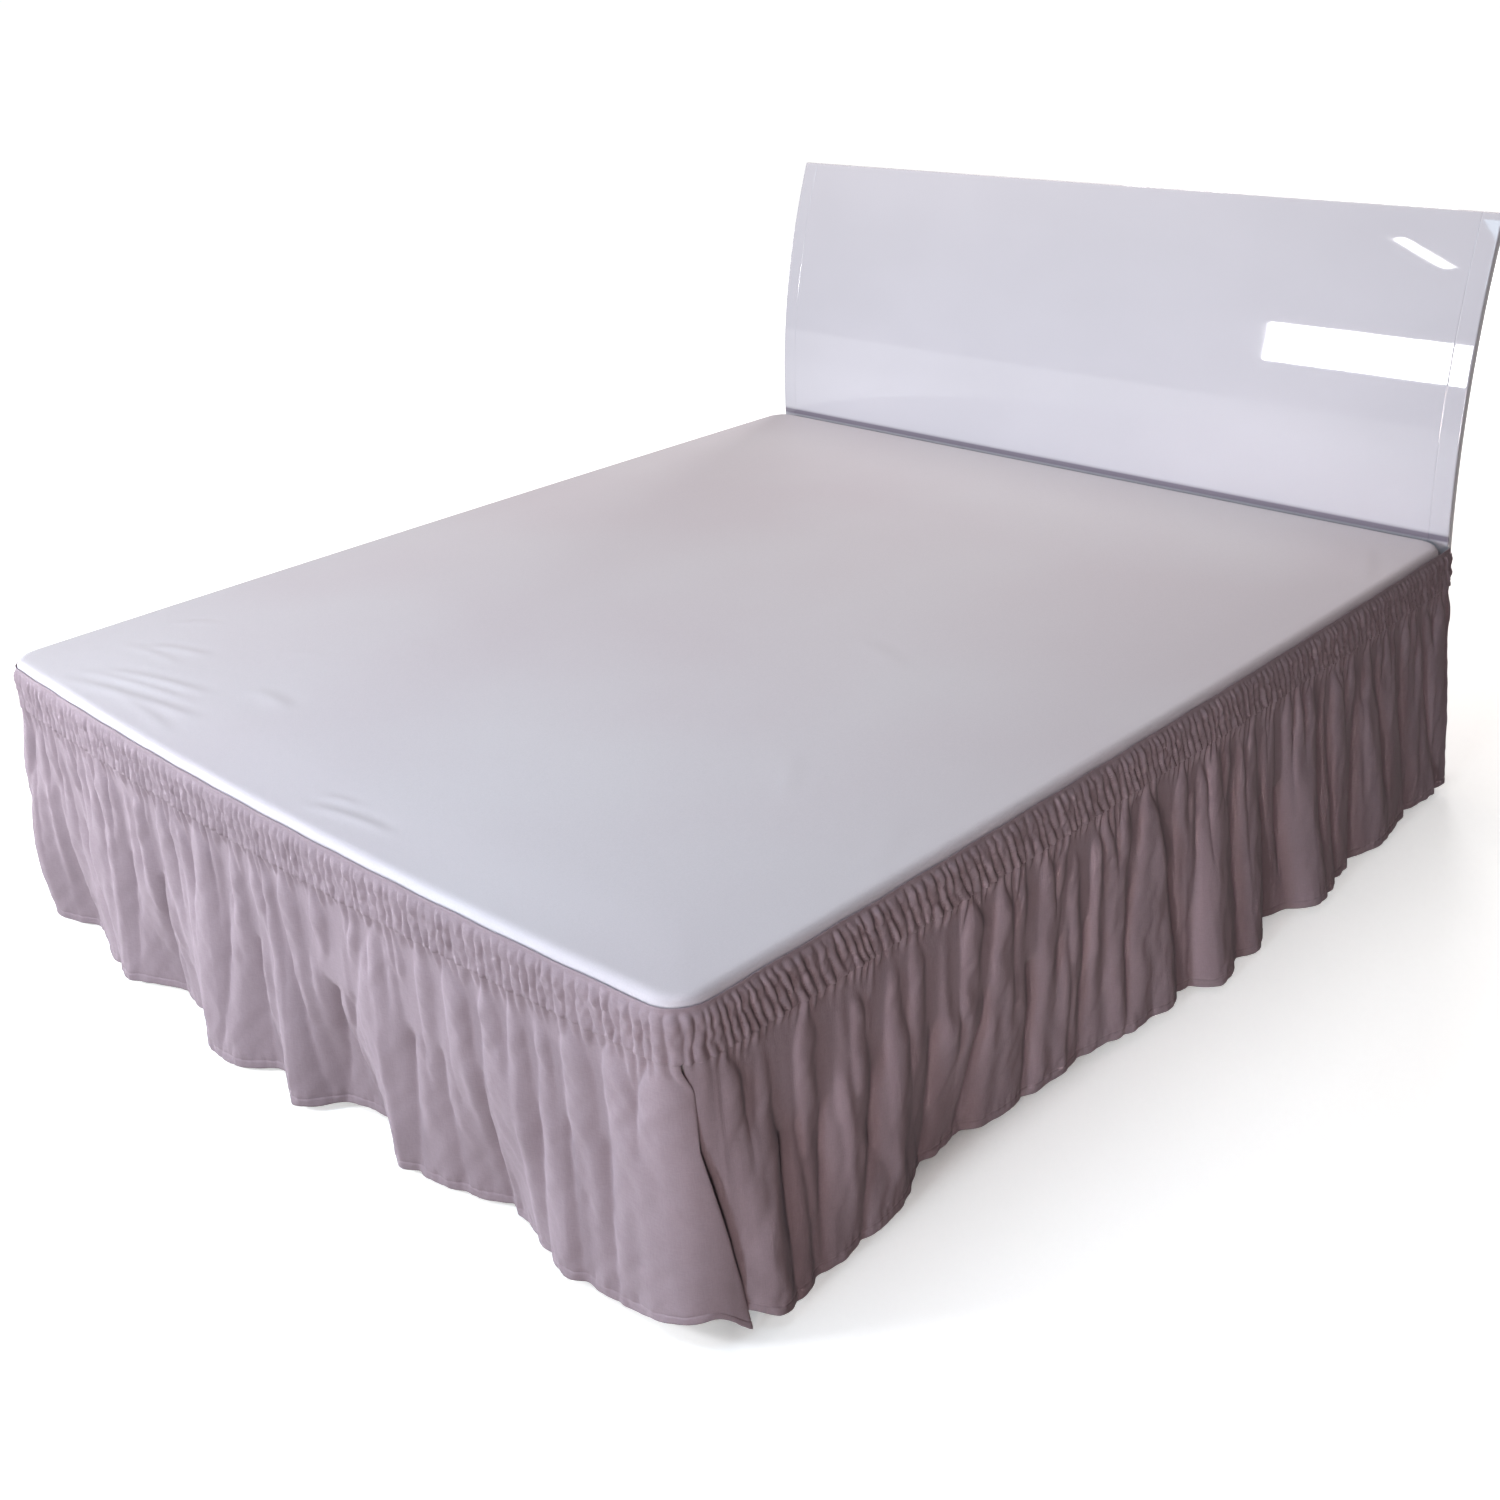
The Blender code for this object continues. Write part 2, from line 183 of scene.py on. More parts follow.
# Main folds of the drops
GROWTH = 1.25
VALLEY_FROM = 0.40
FOLD_BLEND = 0.012
BULGE = 0.008
BULGE_FULL = 0.15
HEM_EASE = ((-0.014, 0.25), (0.0, 0.5), (0.014, 0.25))
UNDER_MATTRESS = 0.38
UNDER_EASE = 0.16
BASE_CLEAR = 0.010
REST_EASE = 0.003

# Corners of the drops
FLAP_SWEEP = 0.045
FLAP_WIDTH = 0.130
FLAP_REACH = 0.005
FLAP_REACH_FULL = 0.36
FLAP_FROM = 0.30
FLAP_CALM = 0.40
FAR_FLAP_SWEEP = 0.6
FAR_FLAP_REACH = 0.036
FAR_FLAP_ARC = (0.06, 0.66)
FAR_FLAP_FULL = 0.3
CORNER_LIFT = 0.048
TIP_DROP = 0.052
TIP_WIDTH = 0.036
LAP = 0.012
LAP_WIDTH = 0.050
LAP_FROM = 0.01
LAP_OVER = 0.10
TUCK_WIDTH = 0.085
TUCK_DEPTH = 0.010
TUCK_OVER = 0.6
TUCK_FREE = 0.2
HELD_IN_FULL = 0.04

# Long creases
CREASE_AT = (0.12, 0.68)
CREASE_GAIN = {"foot": 1.90, "right": 2.00, "left": 1.90}
CREASE_WIDTH = {"foot": 1.45, "right": 1.50, "left": 1.45}
CREASE_SIDES = (0.0075, 0.0125)
CREASE_WIDENING = 0.004
CREASE_POINT = 0.0028
CREASE_SWAY = (-0.005, 0.005)
CREASE_WAVES = 2.6
CREASE_PHASES = (0.0, 6.0)
CREASE_OPENS = 0.10
CREASE_ENDS = 0.24
CREASE_FADE = 0.50
CREASE_FADE_FROM = 0.45

# Gathers that start at the heading's pinches
GATHER_GROUPS = (2, 3, 3, 4)
GATHER_STRAY = (-0.006, 0.006)
GATHER_MEET = (0.12, 0.30)
LONG_GATHER = (0.35, 0.85)
LONG_GATHER_DEPTH = (0.0065, 0.0115)
LONG_GATHER_DRIFT = (-0.012, 0.012)
SHORT_GATHER = (0.9, 1.3)
SHORT_GATHER_DEPTH = (0.0030, 0.0065)
GATHER_ZONE = 0.07
GATHER_OPENS = 0.035
GATHER_HOLDS = 0.30
GATHER_SIDES = 0.0036
GATHER_WIDENING = 0.013
GATHER_WIDE = 0.45
GATHER_POINT = 0.0012
ZIGZAG_ENDS = 0.09

# Soft swells and slight waves
PLEAT_GAIN = 1.6
PLEAT_SPACING = 0.030
PLEAT_LEAN = (-0.022, 0.022)
PLEAT_WIDTH = (0.008, 0.026)
PLEAT_TOP = (0.0, 0.40)
PLEAT_RUN = (0.40, 0.90)
PLEAT_HEIGHT = (-0.0036, 0.0030)
PLEAT_OPENS = 0.14
PLEAT_ENDS = 0.18
CRUMPLE = 0.00034
CRUMPLE_COUNT = 16
CRUMPLE_LENGTHS = (0.026, 0.100)
CRUMPLE_TILT = (-0.9, 0.9)
CRUMPLE_PHASES = (0.0, 6.28)
CRUMPLE_BEND = 1.2
CRUMPLE_BENDS = 9.0
CRUMPLE_FULL = 0.2

# Top edge and hem of the drops
TOP_TUCK = 0.0036
TOP_TUCK_ENDS = 0.03
TOP_UNDER = 0.0016
TOP_UNDER_ENDS = 0.035
HEM_STITCH = 0.014
HEM_TURN_EASE = 0.006
STITCH_GROOVE = 0.0009
STITCH_HALF = 0.0035
HEM_DIMPLE = 0.0006
DIMPLE_LENGTH = 0.015
DIMPLE_STRAY = 2.0
DIMPLE_STRAYS = 23.0
DIMPLE_ZONE = 0.025
HEM_WAVE = 0.006
HEM_WAVES = 11.0
OVERHANG = 0.0022
STEEPEST = 1.6
OVERHANG_FULL = 0.1
OVERHANG_FADE = 0.3
OVERHANG_WINDOW = 4
END_EASE = 0.01
DROP_PITCH = {"foot": 0.0028, "right": 0.0028, "left": 0.0042}

# The hidden left side's folds
LEFT_FIRST = 0.09
LEFT_LAST = 0.10
LEFT_ENDS = (0.020, 0.022)
CREST_TO_VALLEY = (0.04, 0.07)
VALLEY_TO_CREST = (0.05, 0.09)
LEFT_CREST = (0.026, 0.0655)
LEFT_VALLEY = (-0.025, 0.012)
LEFT_LEAN = (-0.02, 0.02)
LEFT_LONG_CREASE = (0.009, 1.0)
LEFT_SHORT_CREASE = (0.006, 0.45)

# Seeds
LEFT_SEED = 41
CREASE_SEED = 5
PINCH_SEED = 7
GATHER_SEED = 23
PLEAT_SEED = 60
CRUMPLE_SEED = 11
RUMPLE_SEED = 31

# The hem seen from above: place along the side (mm), reach out from the mattress edge (mm)
FOOT_HEM = (
    (-20, 15), (40, 19), (70, 11), (110, -7), (150, -10), (300, 28),
    (370, 45), (400, 28), (450, -3), (530, -10), (600, 4), (660, 42),
    (715, 52), (750, 41), (810, 4), (850, -2), (920, 43), (945, 31),
    (1000, -22), (1040, -37), (1090, -36), (1175, 21), (1220, 12), (1300, 0),
    (1390, -26), (1430, -20), (1500, 10), (1565, 29), (1600, 18), (1700, 18),
    (1800, 17),
)
RIGHT_HEM = (
    (0, 10), (60, 14), (95, 40), (130, 36), (180, 23), (270, 21),
    (350, 14), (430, -24), (540, -32), (570, -20), (660, -10), (720, -4),
    (800, -3), (860, 4), (895, 26), (960, 18), (990, 31), (1020, 30),
    (1060, 18), (1110, 60), (1145, 56), (1200, 34), (1235, 53), (1330, 4),
    (1370, 12), (1440, 60), (1475, 61), (1550, 40), (1630, 24), (1690, 39),
    (1730, 38), (1860, 18), (1930, 29), (2010, 28),
)
# Long creases: place near the heading (mm), place near the hem (mm), depth (mm), end (part of the drop)
FOOT_CREASES = (
    (65, 7, 9, 1.00), (190, 262, 8, 1.00), (282, 295, 6, 0.45), (424, 399, 9, 1.00),
    (467, 462, 6, 0.55), (540, 505, 9, 1.00), (673, 660, 6, 0.45), (777, 735, 10, 1.00),
    (849, 826, 8, 1.00), (927, 954, 9, 1.00), (1008, 1000, 6, 0.45), (1083, 1017, 11, 1.00),
    (1147, 1060, 7, 0.90), (1204, 1195, 6, 0.45), (1260, 1228, 8, 1.00), (1319, 1305, 8, 1.00),
    (1408, 1391, 10, 1.00), (1467, 1460, 6, 0.40), (1524, 1512, 8, 1.00), (1574, 1579, 8, 1.00),
    (1647, 1647, 8, 1.00),
)
RIGHT_CREASES = (
    (44, 17, 7, 0.80), (110, 105, 6, 0.45), (154, 141, 11, 1.00), (234, 209, 10, 1.00),
    (275, 280, 6, 0.45), (345, 299, 9, 1.00), (391, 395, 6, 0.40), (445, 445, 10, 1.00),
    (489, 480, 6, 0.50), (577, 546, 9, 1.00), (668, 668, 10, 1.00), (758, 724, 7, 0.70),
    (806, 800, 9, 1.00), (927, 905, 9, 1.00), (1011, 1034, 11, 1.00), (1104, 1090, 8, 1.00),
    (1213, 1206, 10, 1.00), (1293, 1321, 10, 1.00), (1354, 1378, 8, 1.00), (1489, 1480, 9, 1.00),
    (1534, 1532, 7, 1.00), (1642, 1622, 10, 1.00), (1710, 1743, 8, 0.90), (1800, 1836, 9, 1.00),
    (1900, 1944, 9, 1.00),
)

# Soft wrinkles in the mattress cover: start x, start y, end x, end y, height, half width (mm)
WRINKLES = (
    (-740, -990, -300, -924, 2.1, 11), (-760, -958, -380, -898, 1.4, 10),
    (-720, -934, -400, -862, 2.0, 11), (-600, -960, -300, -990, 1.1, 10),
    (-800, -850, -560, -830, 1.0, 10), (-750, -832, -560, -772, 1.5, 11),
    (-800, -742, -700, -676, 1.1, 12), (-390, -812, -240, -820, 1.4, 14),
    (-480, -690, -400, -645, 0.8, 10), (50, -992, 280, -958, 1.7, 9),
    (60, -964, 150, -942, 1.1, 8), (-340, -536, -260, -514, 0.8, 9),
    (520, -420, 640, -560, 1.0, 12), (580, -430, 680, -560, 0.7, 10),
    (300, -40, 460, -90, 1.1, 14), (800, -480, 860, -640, 0.8, 10),
    (780, 900, 870, 700, 1.3, 12), (-450, 790, -300, 770, 0.8, 16),
)

# Camera: place, right and up directions, lens and the offset of the picture's middle
CAMERA_AT = (2.2967, -2.1755, 1.7033)
CAMERA_RIGHT = (0.735915, 0.675368, -0.048022)
CAMERA_UP = (-0.217582, 0.303060, 0.927800)
LENS = 43.075
SENSOR = 36.0
SHIFT_X = -0.0667
SHIFT_Y = -0.0833
CLIP_END = 1000.0

WHITE = (1.0, 1.0, 1.0)
# Lights: name, place (m), what it faces (m), size (m), power (W), color
LIGHTS = (
    ("Window", (-1.555, -3.54, 1.74), (-1.555, 1.0, 0.92), (1.13, 0.62), 130.0, (0.96, 0.97, 1.0)),
    ("Along foot", (-4.3, -2.35, 0.62), (0.0, -1.07, 0.27), (0.7, 0.5), 4.0, (0.90, 0.95, 1.0)),
    ("Along side", (2.2, -3.6, 0.60), (0.97, -0.15, 0.27), (0.4, 0.5), 0.60, (1.0, 0.84, 0.80)),
    ("Foot", (1.45, -4.6, 1.0), (0.95, -0.3, 0.3), (0.5, 0.9), 70.0, (0.80, 0.93, 1.0)),
    ("Side", (3.6, -4.2, 1.0), (0.95, -0.3, 0.3), (0.9, 0.9), 76.0, (1.0, 0.78, 0.72)),
    ("Left", (-6.9, -2.5, 1.8), (0.0, -1.0, 0.4), (1.2, 1.2), 66.0, WHITE),
    ("Back", (-2.2, 5.8, 1.9), (0.0, 1.0, 0.5), (1.6, 1.4), 170.0, (1.0, 0.98, 0.97)),
    ("Back right", (5.4, 4.2, 1.5), (0.95, 0.4, 0.3), (1.2, 1.2), 15.0, (1.0, 0.90, 0.88)),
    ("Foot top", (0.3, -1.7, 2.5), (0.1, -0.9, 0.5), (1.4, 0.9), 25.0, (0.62, 0.84, 1.0)),
    ("Ceiling", (-0.6, 0.9, 3.4), (-0.3, 0.4, 0.5), (3.0, 3.0), 80.0, (1.0, 0.89, 0.79)),
    ("Lamp", (-1.67, -3.54, 3.49), (-1.67, 1.0, 3.0), (0.55, 0.07), 5.0, WHITE),
)
# Lights narrowed to a beam, with its full angle (degrees), and lights whose long side is turned
BEAMS = {"Along foot": 26.0, "Along side": 18.0}
TURNED = {"Lamp": (0.642, 0.0, -0.766)}
ROOM_COLOR = (1.0, 0.84, 0.84)
ROOM_STRENGTH = 0.035

# Floor
FLOOR_HALF = 400.0
FLOOR_DARK = (0.79, 0.79, 0.795)
FLOOR_LIGHT = (0.81, 0.81, 0.81)
GLOW_NEAR = 0.52
GLOW_FAR = 1.00
GLOW_FROM = 1.6
GLOW_TO = 6.5
# Where the glow begins, as parts of half the bed's width and length
GLOW_EDGE = (0.90, 1.06)


def smooth(t):
    """Ease from 0 to 1 while t goes from 0 to 1."""
    t = np.clip(t, 0.0, 1.0)
    return t * t * (3.0 - 2.0 * t)


def fall(t):
    """Ease from 1 to 0 while t goes from 0 to 1."""
    return 1.0 - smooth(t)


def bump(distance):
    """A rounded rise of height 1, about one unit to each side."""
    return np.exp(-distance ** 2)


def cusp(distance, width, point):
    """A crease's cross-section: a narrow rounded bottom with sides that ease out over the given width."""
    return np.exp(-(np.sqrt(distance ** 2 + point ** 2) - point) / width)


def side_outline():
    """The mattress edge as a polyline from the head of the left side round to the head of the right side."""
    r = PLAN_CORNER
    head = HALF_LENGTH + HEAD_OVERRUN
    run = head + HALF_LENGTH - r
    quarter = math.pi / 2

    def on_side(sign, y):
        return sign * (HALF_WIDTH + SIDE_BOW * max(0.0, 1 - (y / HALF_LENGTH) ** 2)), y

    def on_corner(x, a):
        return x + r * math.cos(a), -HALF_LENGTH + r + r * math.sin(a)

    def on_foot(x):
        return x, -HALF_LENGTH - FOOT_BOW * (1 - (x / (HALF_WIDTH - r)) ** 2)

    points = [on_side(-1, head - run * i / EDGE_STEPS) for i in range(EDGE_STEPS)]
    points += [on_corner(-HALF_WIDTH + r, math.pi + quarter * i / CORNER_STEPS) for i in range(CORNER_STEPS)]
    points += [on_foot(-HALF_WIDTH + r + (BED_WIDTH - 2 * r) * i / EDGE_STEPS) for i in range(EDGE_STEPS)]
    points += [on_corner(HALF_WIDTH - r, -quarter + quarter * i / CORNER_STEPS) for i in range(CORNER_STEPS)]
    points += [on_side(1, -HALF_LENGTH + r + run * i / EDGE_STEPS) for i in range(EDGE_STEPS + 1)]
    return np.array(points)


OUTLINE = side_outline()
ALONG = np.concatenate(([0.0], np.cumsum(np.linalg.norm(np.diff(OUTLINE, axis=0), axis=1))))
PATH_LENGTH = float(ALONG[-1])
LEFT_CORNER = float(ALONG[EDGE_STEPS + CORNER_STEPS // 2])
RIGHT_CORNER = PATH_LENGTH - LEFT_CORNER
FOOT_ZERO = PATH_LENGTH / 2 - BED_WIDTH / 2
RIGHT_ZERO = PATH_LENGTH - BED_LENGTH - HEAD_OVERRUN
LEFT_ZERO = BED_LENGTH + HEAD_OVERRUN


def place(u, reach, z):
    """Points at distance u along the edge, pushed outward by reach, at height z, as an array of (x, y, z)."""
    def on_edge(distance):
        return np.stack([np.interp(distance, ALONG, OUTLINE[:, k]) for k in (0, 1)], -1)

    at = on_edge(u)
    way = on_edge(u + LOOK_AHEAD) - on_edge(u - LOOK_AHEAD)
    way = way / np.linalg.norm(way, axis=-1, keepdims=True)
    x = at[..., 0] + way[..., 1] * reach
    y = at[..., 1] - way[..., 0] * reach - CENTRE_Y
    return np.stack([x, y, z + 0.0 * reach], -1)


def hem_reach(at, hem):
    """Reach of the hem at places along its side, with the table's corners eased."""
    places = [row[0] for row in hem]
    reaches = [row[1] for row in hem]
    return sum(share * np.interp(at + step, places, reaches) for step, share in HEM_EASE)


def left_side():
    """The hidden side: a hem and creases like the visible ones, at uneven spacing."""
    rng = random.Random(LEFT_SEED)
    hem = [(0.0, LEFT_ENDS[0])]
    creases = []
    crest = LEFT_FIRST
    while crest < BED_LENGTH - LEFT_LAST:
        valley = crest + rng.uniform(*CREST_TO_VALLEY)
        hem.append((crest, rng.uniform(*LEFT_CREST)))
        hem.append((valley, rng.uniform(*LEFT_VALLEY)))
        creases.append((valley + rng.uniform(*LEFT_LEAN), valley, *LEFT_LONG_CREASE))
        creases.append((crest + rng.uniform(*LEFT_LEAN), crest, *LEFT_SHORT_CREASE))
        crest = valley + rng.uniform(*VALLEY_TO_CREST)
    hem.append((BED_LENGTH, LEFT_ENDS[1]))
    return tuple(hem), tuple(creases)


def in_metres(rows, columns):
    """A table's rows with the first columns in metres instead of millimetres."""
    return tuple(tuple(v / 1000 for v in row[:columns]) + row[columns:] for row in rows)


# Each side: where its places count from, the sign they run with, its hem and its creases
SIDES = {
    "foot": (FOOT_ZERO, 1.0, in_metres(FOOT_HEM, 2), in_metres(FOOT_CREASES, 3)),
    "right": (RIGHT_ZERO, 1.0, in_metres(RIGHT_HEM, 2), in_metres(RIGHT_CREASES, 3)),
    "left": (LEFT_ZERO, -1.0, *left_side()),
}


def main_folds(side, u, h):
    """Outward reach of the main hanging folds beyond the heading, as in the solids."""
    zero, sign, hem, _ = SIDES[side]
    at = (u - zero) * sign
    bulge = BULGE * smooth(h / BULGE_FULL)
    beyond = hem_reach(at, hem) - BAND_MIDDLE - BULGE
    inward = smooth((h - VALLEY_FROM) / (1.0 - VALLEY_FROM))
    outward = h ** GROWTH
    share = smooth(beyond / FOLD_BLEND + 0.5)
    return bulge + beyond * (inward + (outward - inward) * share)


def long_creases(side, u, h):
    """Depth of the creases that run down from the heading."""
    zero, sign, _, creases = SIDES[side]
    at = (u - zero) * sign
    rng = random.Random(CREASE_SEED + len(side))
    upper, lower = CREASE_AT
    point = CREASE_POINT * CREASE_WIDTH[side]
    fading = 1.0 - CREASE_FADE * smooth((h - CREASE_FADE_FROM) / (1.0 - CREASE_FADE_FROM))
    total = np.zeros_like(u)
    for near, low, depth, end in creases:
        sway = rng.uniform(*CREASE_SWAY) * np.sin(CREASE_WAVES * np.pi * h + rng.uniform(*CREASE_PHASES))
        track = near + (low - near) * (h - upper) / (lower - upper) + sway
        width = rng.uniform(*CREASE_SIDES) * CREASE_WIDTH[side] + CREASE_WIDENING * h
        closing = smooth((h - end + CREASE_ENDS) / CREASE_ENDS) * (end < 1.0)
        opening = smooth(h / CREASE_OPENS) * (1.0 - closing)
        total += CREASE_GAIN[side] * depth * opening * fading * cusp(at - track, width, point)
    return total


def pinch_lines():
    """Where the shirring pinches the cloth, and how much each pinch and pucker varies from row to row."""
    rng = random.Random(PINCH_SEED)
    places = []
    sideways = []
    crests = []
    valleys = []
    at = PINCH_FIRST
    while at < PATH_LENGTH + PINCH_BEYOND:
        places.append(at)
        sideways.append([rng.uniform(*PINCH_STRAY) for _ in PINCH_LEVELS])
        crests.append([rng.uniform(*PUCKER_CRESTS) for _ in PINCH_LEVELS])
        valleys.append([rng.uniform(*PUCKER_VALLEYS) for _ in PINCH_LEVELS])
        at += rng.uniform(*(RIGHT_PITCH if at > RIGHT_CORNER else FOOT_PITCH))
    return np.array(places), np.array(sideways), np.array(crests), np.array(valleys)


PINCHES, PINCH_SIDEWAYS, PINCH_CRESTS, PINCH_VALLEYS = pinch_lines()


def pucker(u, v):
    """The shirred profile, from -1 in a pinch to +1 on a crest, at distances u and part v of the heading."""
    levels = np.array([np.interp(v, PINCH_LEVELS, row) for row in np.eye(len(PINCH_LEVELS))])
    slant = PINCH_SLANT * smooth((PINCHES - RIGHT_CORNER) / SLANT_BLEND)
    spots = PINCHES + PINCH_SIDEWAYS @ levels + slant * (v - 1.0)
    crest = PINCH_CRESTS @ levels
    valley = PINCH_VALLEYS @ levels
    k = np.clip(np.searchsorted(spots, u) - 1, 0, len(spots) - 2)
    t = np.clip((u - spots[k]) / (spots[k + 1] - spots[k]), 0.0, 1.0)
    swell = np.sin(np.pi * t) ** PUCKER_ROUND
    return crest[k] * swell - (valley[k] * (1.0 - t) + valley[k + 1] * t) * (1.0 - swell)


def pucker_gain(u):
    """How high the puckers stand, lower along the foot than along the sides."""
    on_foot = smooth((u - LEFT_CORNER) / PUCKER_BLEND) * smooth((RIGHT_CORNER - u) / PUCKER_BLEND)
    return SIDE_PUCKERS + (FOOT_PUCKERS - SIDE_PUCKERS) * on_foot


def gather_courses():
    """Each pinch's course below the heading: neighbours run together in a V and the middle one carries on."""
    rng = random.Random(GATHER_SEED)
    courses = []
    k = 0
    while k < len(PINCHES):
        group = min(rng.choice(GATHER_GROUPS), len(PINCHES) - k)
        middle = k + group // 2
        goal = PINCHES[middle] + rng.uniform(*GATHER_STRAY)
        for one in range(k, k + group):
            meet = rng.uniform(*GATHER_MEET)
            if one == middle:
                end = rng.uniform(*LONG_GATHER)
                depth = rng.uniform(*LONG_GATHER_DEPTH)
                drift = rng.uniform(*LONG_GATHER_DRIFT)
            else:
                end = meet * rng.uniform(*SHORT_GATHER)
                depth = rng.uniform(*SHORT_GATHER_DEPTH)
                drift = 0.0
            courses.append((PINCHES[one], goal, meet, end, depth, drift))
        k += group
    return tuple(courses)


def gathers(line, rows):
    """Depth of the creases that the gathering starts, at distances line and drop fractions rows."""
    total = np.zeros((len(rows), len(line)))
    h = rows[:, None]
    width = GATHER_SIDES + GATHER_WIDENING * smooth(h / GATHER_WIDE)
    for at, goal, meet, end, depth, drift in gather_courses():
        first, last = np.searchsorted(line, (at - GATHER_ZONE, at + GATHER_ZONE))
        if first == last:
            continue
        track = at + (goal - at) * smooth(h / meet) + drift * h
        held = GATHER_HOLDS * end
        envelope = smooth(h / GATHER_OPENS) * fall((h - held) / ((1.0 - GATHER_HOLDS) * end))
        crease = cusp(line[None, first:last] - track, width, GATHER_POINT)
        total[:, first:last] += depth * envelope * crease
    return total


def soft_pleats(line, rows, seed):
    """Low rounded swells and hollows between the creases, here and there down the drop."""
    rng = random.Random(seed)
    total = np.zeros((len(rows), len(line)))
    h = rows[:, None]
    for _ in range(int((line[-1] - line[0]) / PLEAT_SPACING)):
        at = rng.uniform(line[0], line[-1])
        lean = rng.uniform(*PLEAT_LEAN)
        width = rng.uniform(*PLEAT_WIDTH)
        top = rng.uniform(*PLEAT_TOP)
        end = top + rng.uniform(*PLEAT_RUN)
        height = rng.uniform(*PLEAT_HEIGHT)
        envelope = smooth((h - top) / PLEAT_OPENS) * fall((h - end) / PLEAT_ENDS)
        total += height * envelope * bump((line[None, :] - at - lean * (h - 0.5)) / width)
    return total


def crumple(u, h, seed, count, lengths):
    """Slight uneven waves all over the cloth: how many there are, and the range of their lengths."""
    rng = random.Random(seed)
    total = np.zeros_like(u)
    for _ in range(count):
        length = rng.uniform(*lengths)
        tilt = rng.uniform(*CRUMPLE_TILT)
        phase = rng.uniform(*CRUMPLE_PHASES)
        bend = CRUMPLE_BEND * np.sin(h * CRUMPLE_BENDS + phase)
        total += np.sin((u + tilt * h * DROP) * 2 * math.pi / length + phase + bend)
    return total * CRUMPLE


def corner_flap(distance, h):
    """How a foot corner's free edge sweeps round the corner, as (shift along the side, weight)."""
    weight = smooth(1.0 - distance / FLAP_WIDTH)
    return FLAP_SWEEP * weight * np.clip((h - FLAP_FROM) / (1.0 - FLAP_FROM), 0.0, 1.0), weight


def foot_corners(u, h, start, end, folds):
    """The foot drop's free edges, as (shift along the side, weight of the near one, freedom, folds)."""
    near_shift, near = corner_flap(end - u, h)
    far_shift, far = corner_flap(u - start, h)
    lap = LAP * smooth(1.0 - (end - u) / LAP_WIDTH) * smooth((h - LAP_FROM) / LAP_OVER)
    shift = near_shift - FAR_FLAP_SWEEP * far_shift + lap
    free = 1.0 - FLAP_CALM * np.maximum(near, far)
    folds = folds + (FLAP_REACH * smooth(h / FLAP_REACH_FULL) - folds) * near
    arc_from, arc_over = FAR_FLAP_ARC
    turned_out = FAR_FLAP_REACH * np.sin(np.pi * (arc_from + arc_over * h))
    folds = folds + (turned_out - folds) * far * smooth(h / FAR_FLAP_FULL)
    return shift, near, free, folds


def tucked_corner(from_corner, h, folds):
    """A side drop's end behind the foot drop, as (freedom, folds, how far it is held in)."""
    clear = smooth(from_corner / TUCK_WIDTH)
    free = TUCK_FREE + (1.0 - TUCK_FREE) * clear
    folds = folds * clear - TUCK_DEPTH * smooth((h - VALLEY_FROM) / TUCK_OVER) * (1.0 - clear)
    held_in = fall(from_corner / LAP_WIDTH) * smooth(h / HELD_IN_FULL)
    return free, folds - (BAND_MIDDLE - LOWEST_REACH) * held_in, held_in


def stitched_hem(u, h):
    """Relief of the hem's stitch line, with the small dimples that the stitches pull in."""
    from_stitch = h - (1.0 - HEM_STITCH / DROP)
    dimples = np.sin(u * 2 * np.pi / DIMPLE_LENGTH + DIMPLE_STRAY * np.sin(u * DIMPLE_STRAYS))
    groove = STITCH_GROOVE * bump(from_stitch / STITCH_HALF)
    return (HEM_DIMPLE * dimples - groove) * bump(from_stitch / DIMPLE_ZONE)


def kept_outside(reach, h):
    """Reach eased to stay clear of the mattress above and of the base below."""
    lowest = LOWEST_REACH - (BASE_INSET - BASE_CLEAR) * smooth((h - UNDER_MATTRESS) / UNDER_EASE)
    spare = reach - lowest
    return lowest + 0.5 * (spare + np.sqrt(spare ** 2 + REST_EASE ** 2))


def smoothed(rows, width):
    """Each row of values evened out along the cloth."""
    window = np.hanning(2 * width + 1)
    window = window / window.sum()
    return np.stack([np.convolve(np.pad(row, width, mode="edge"), window, mode="valid") for row in rows])


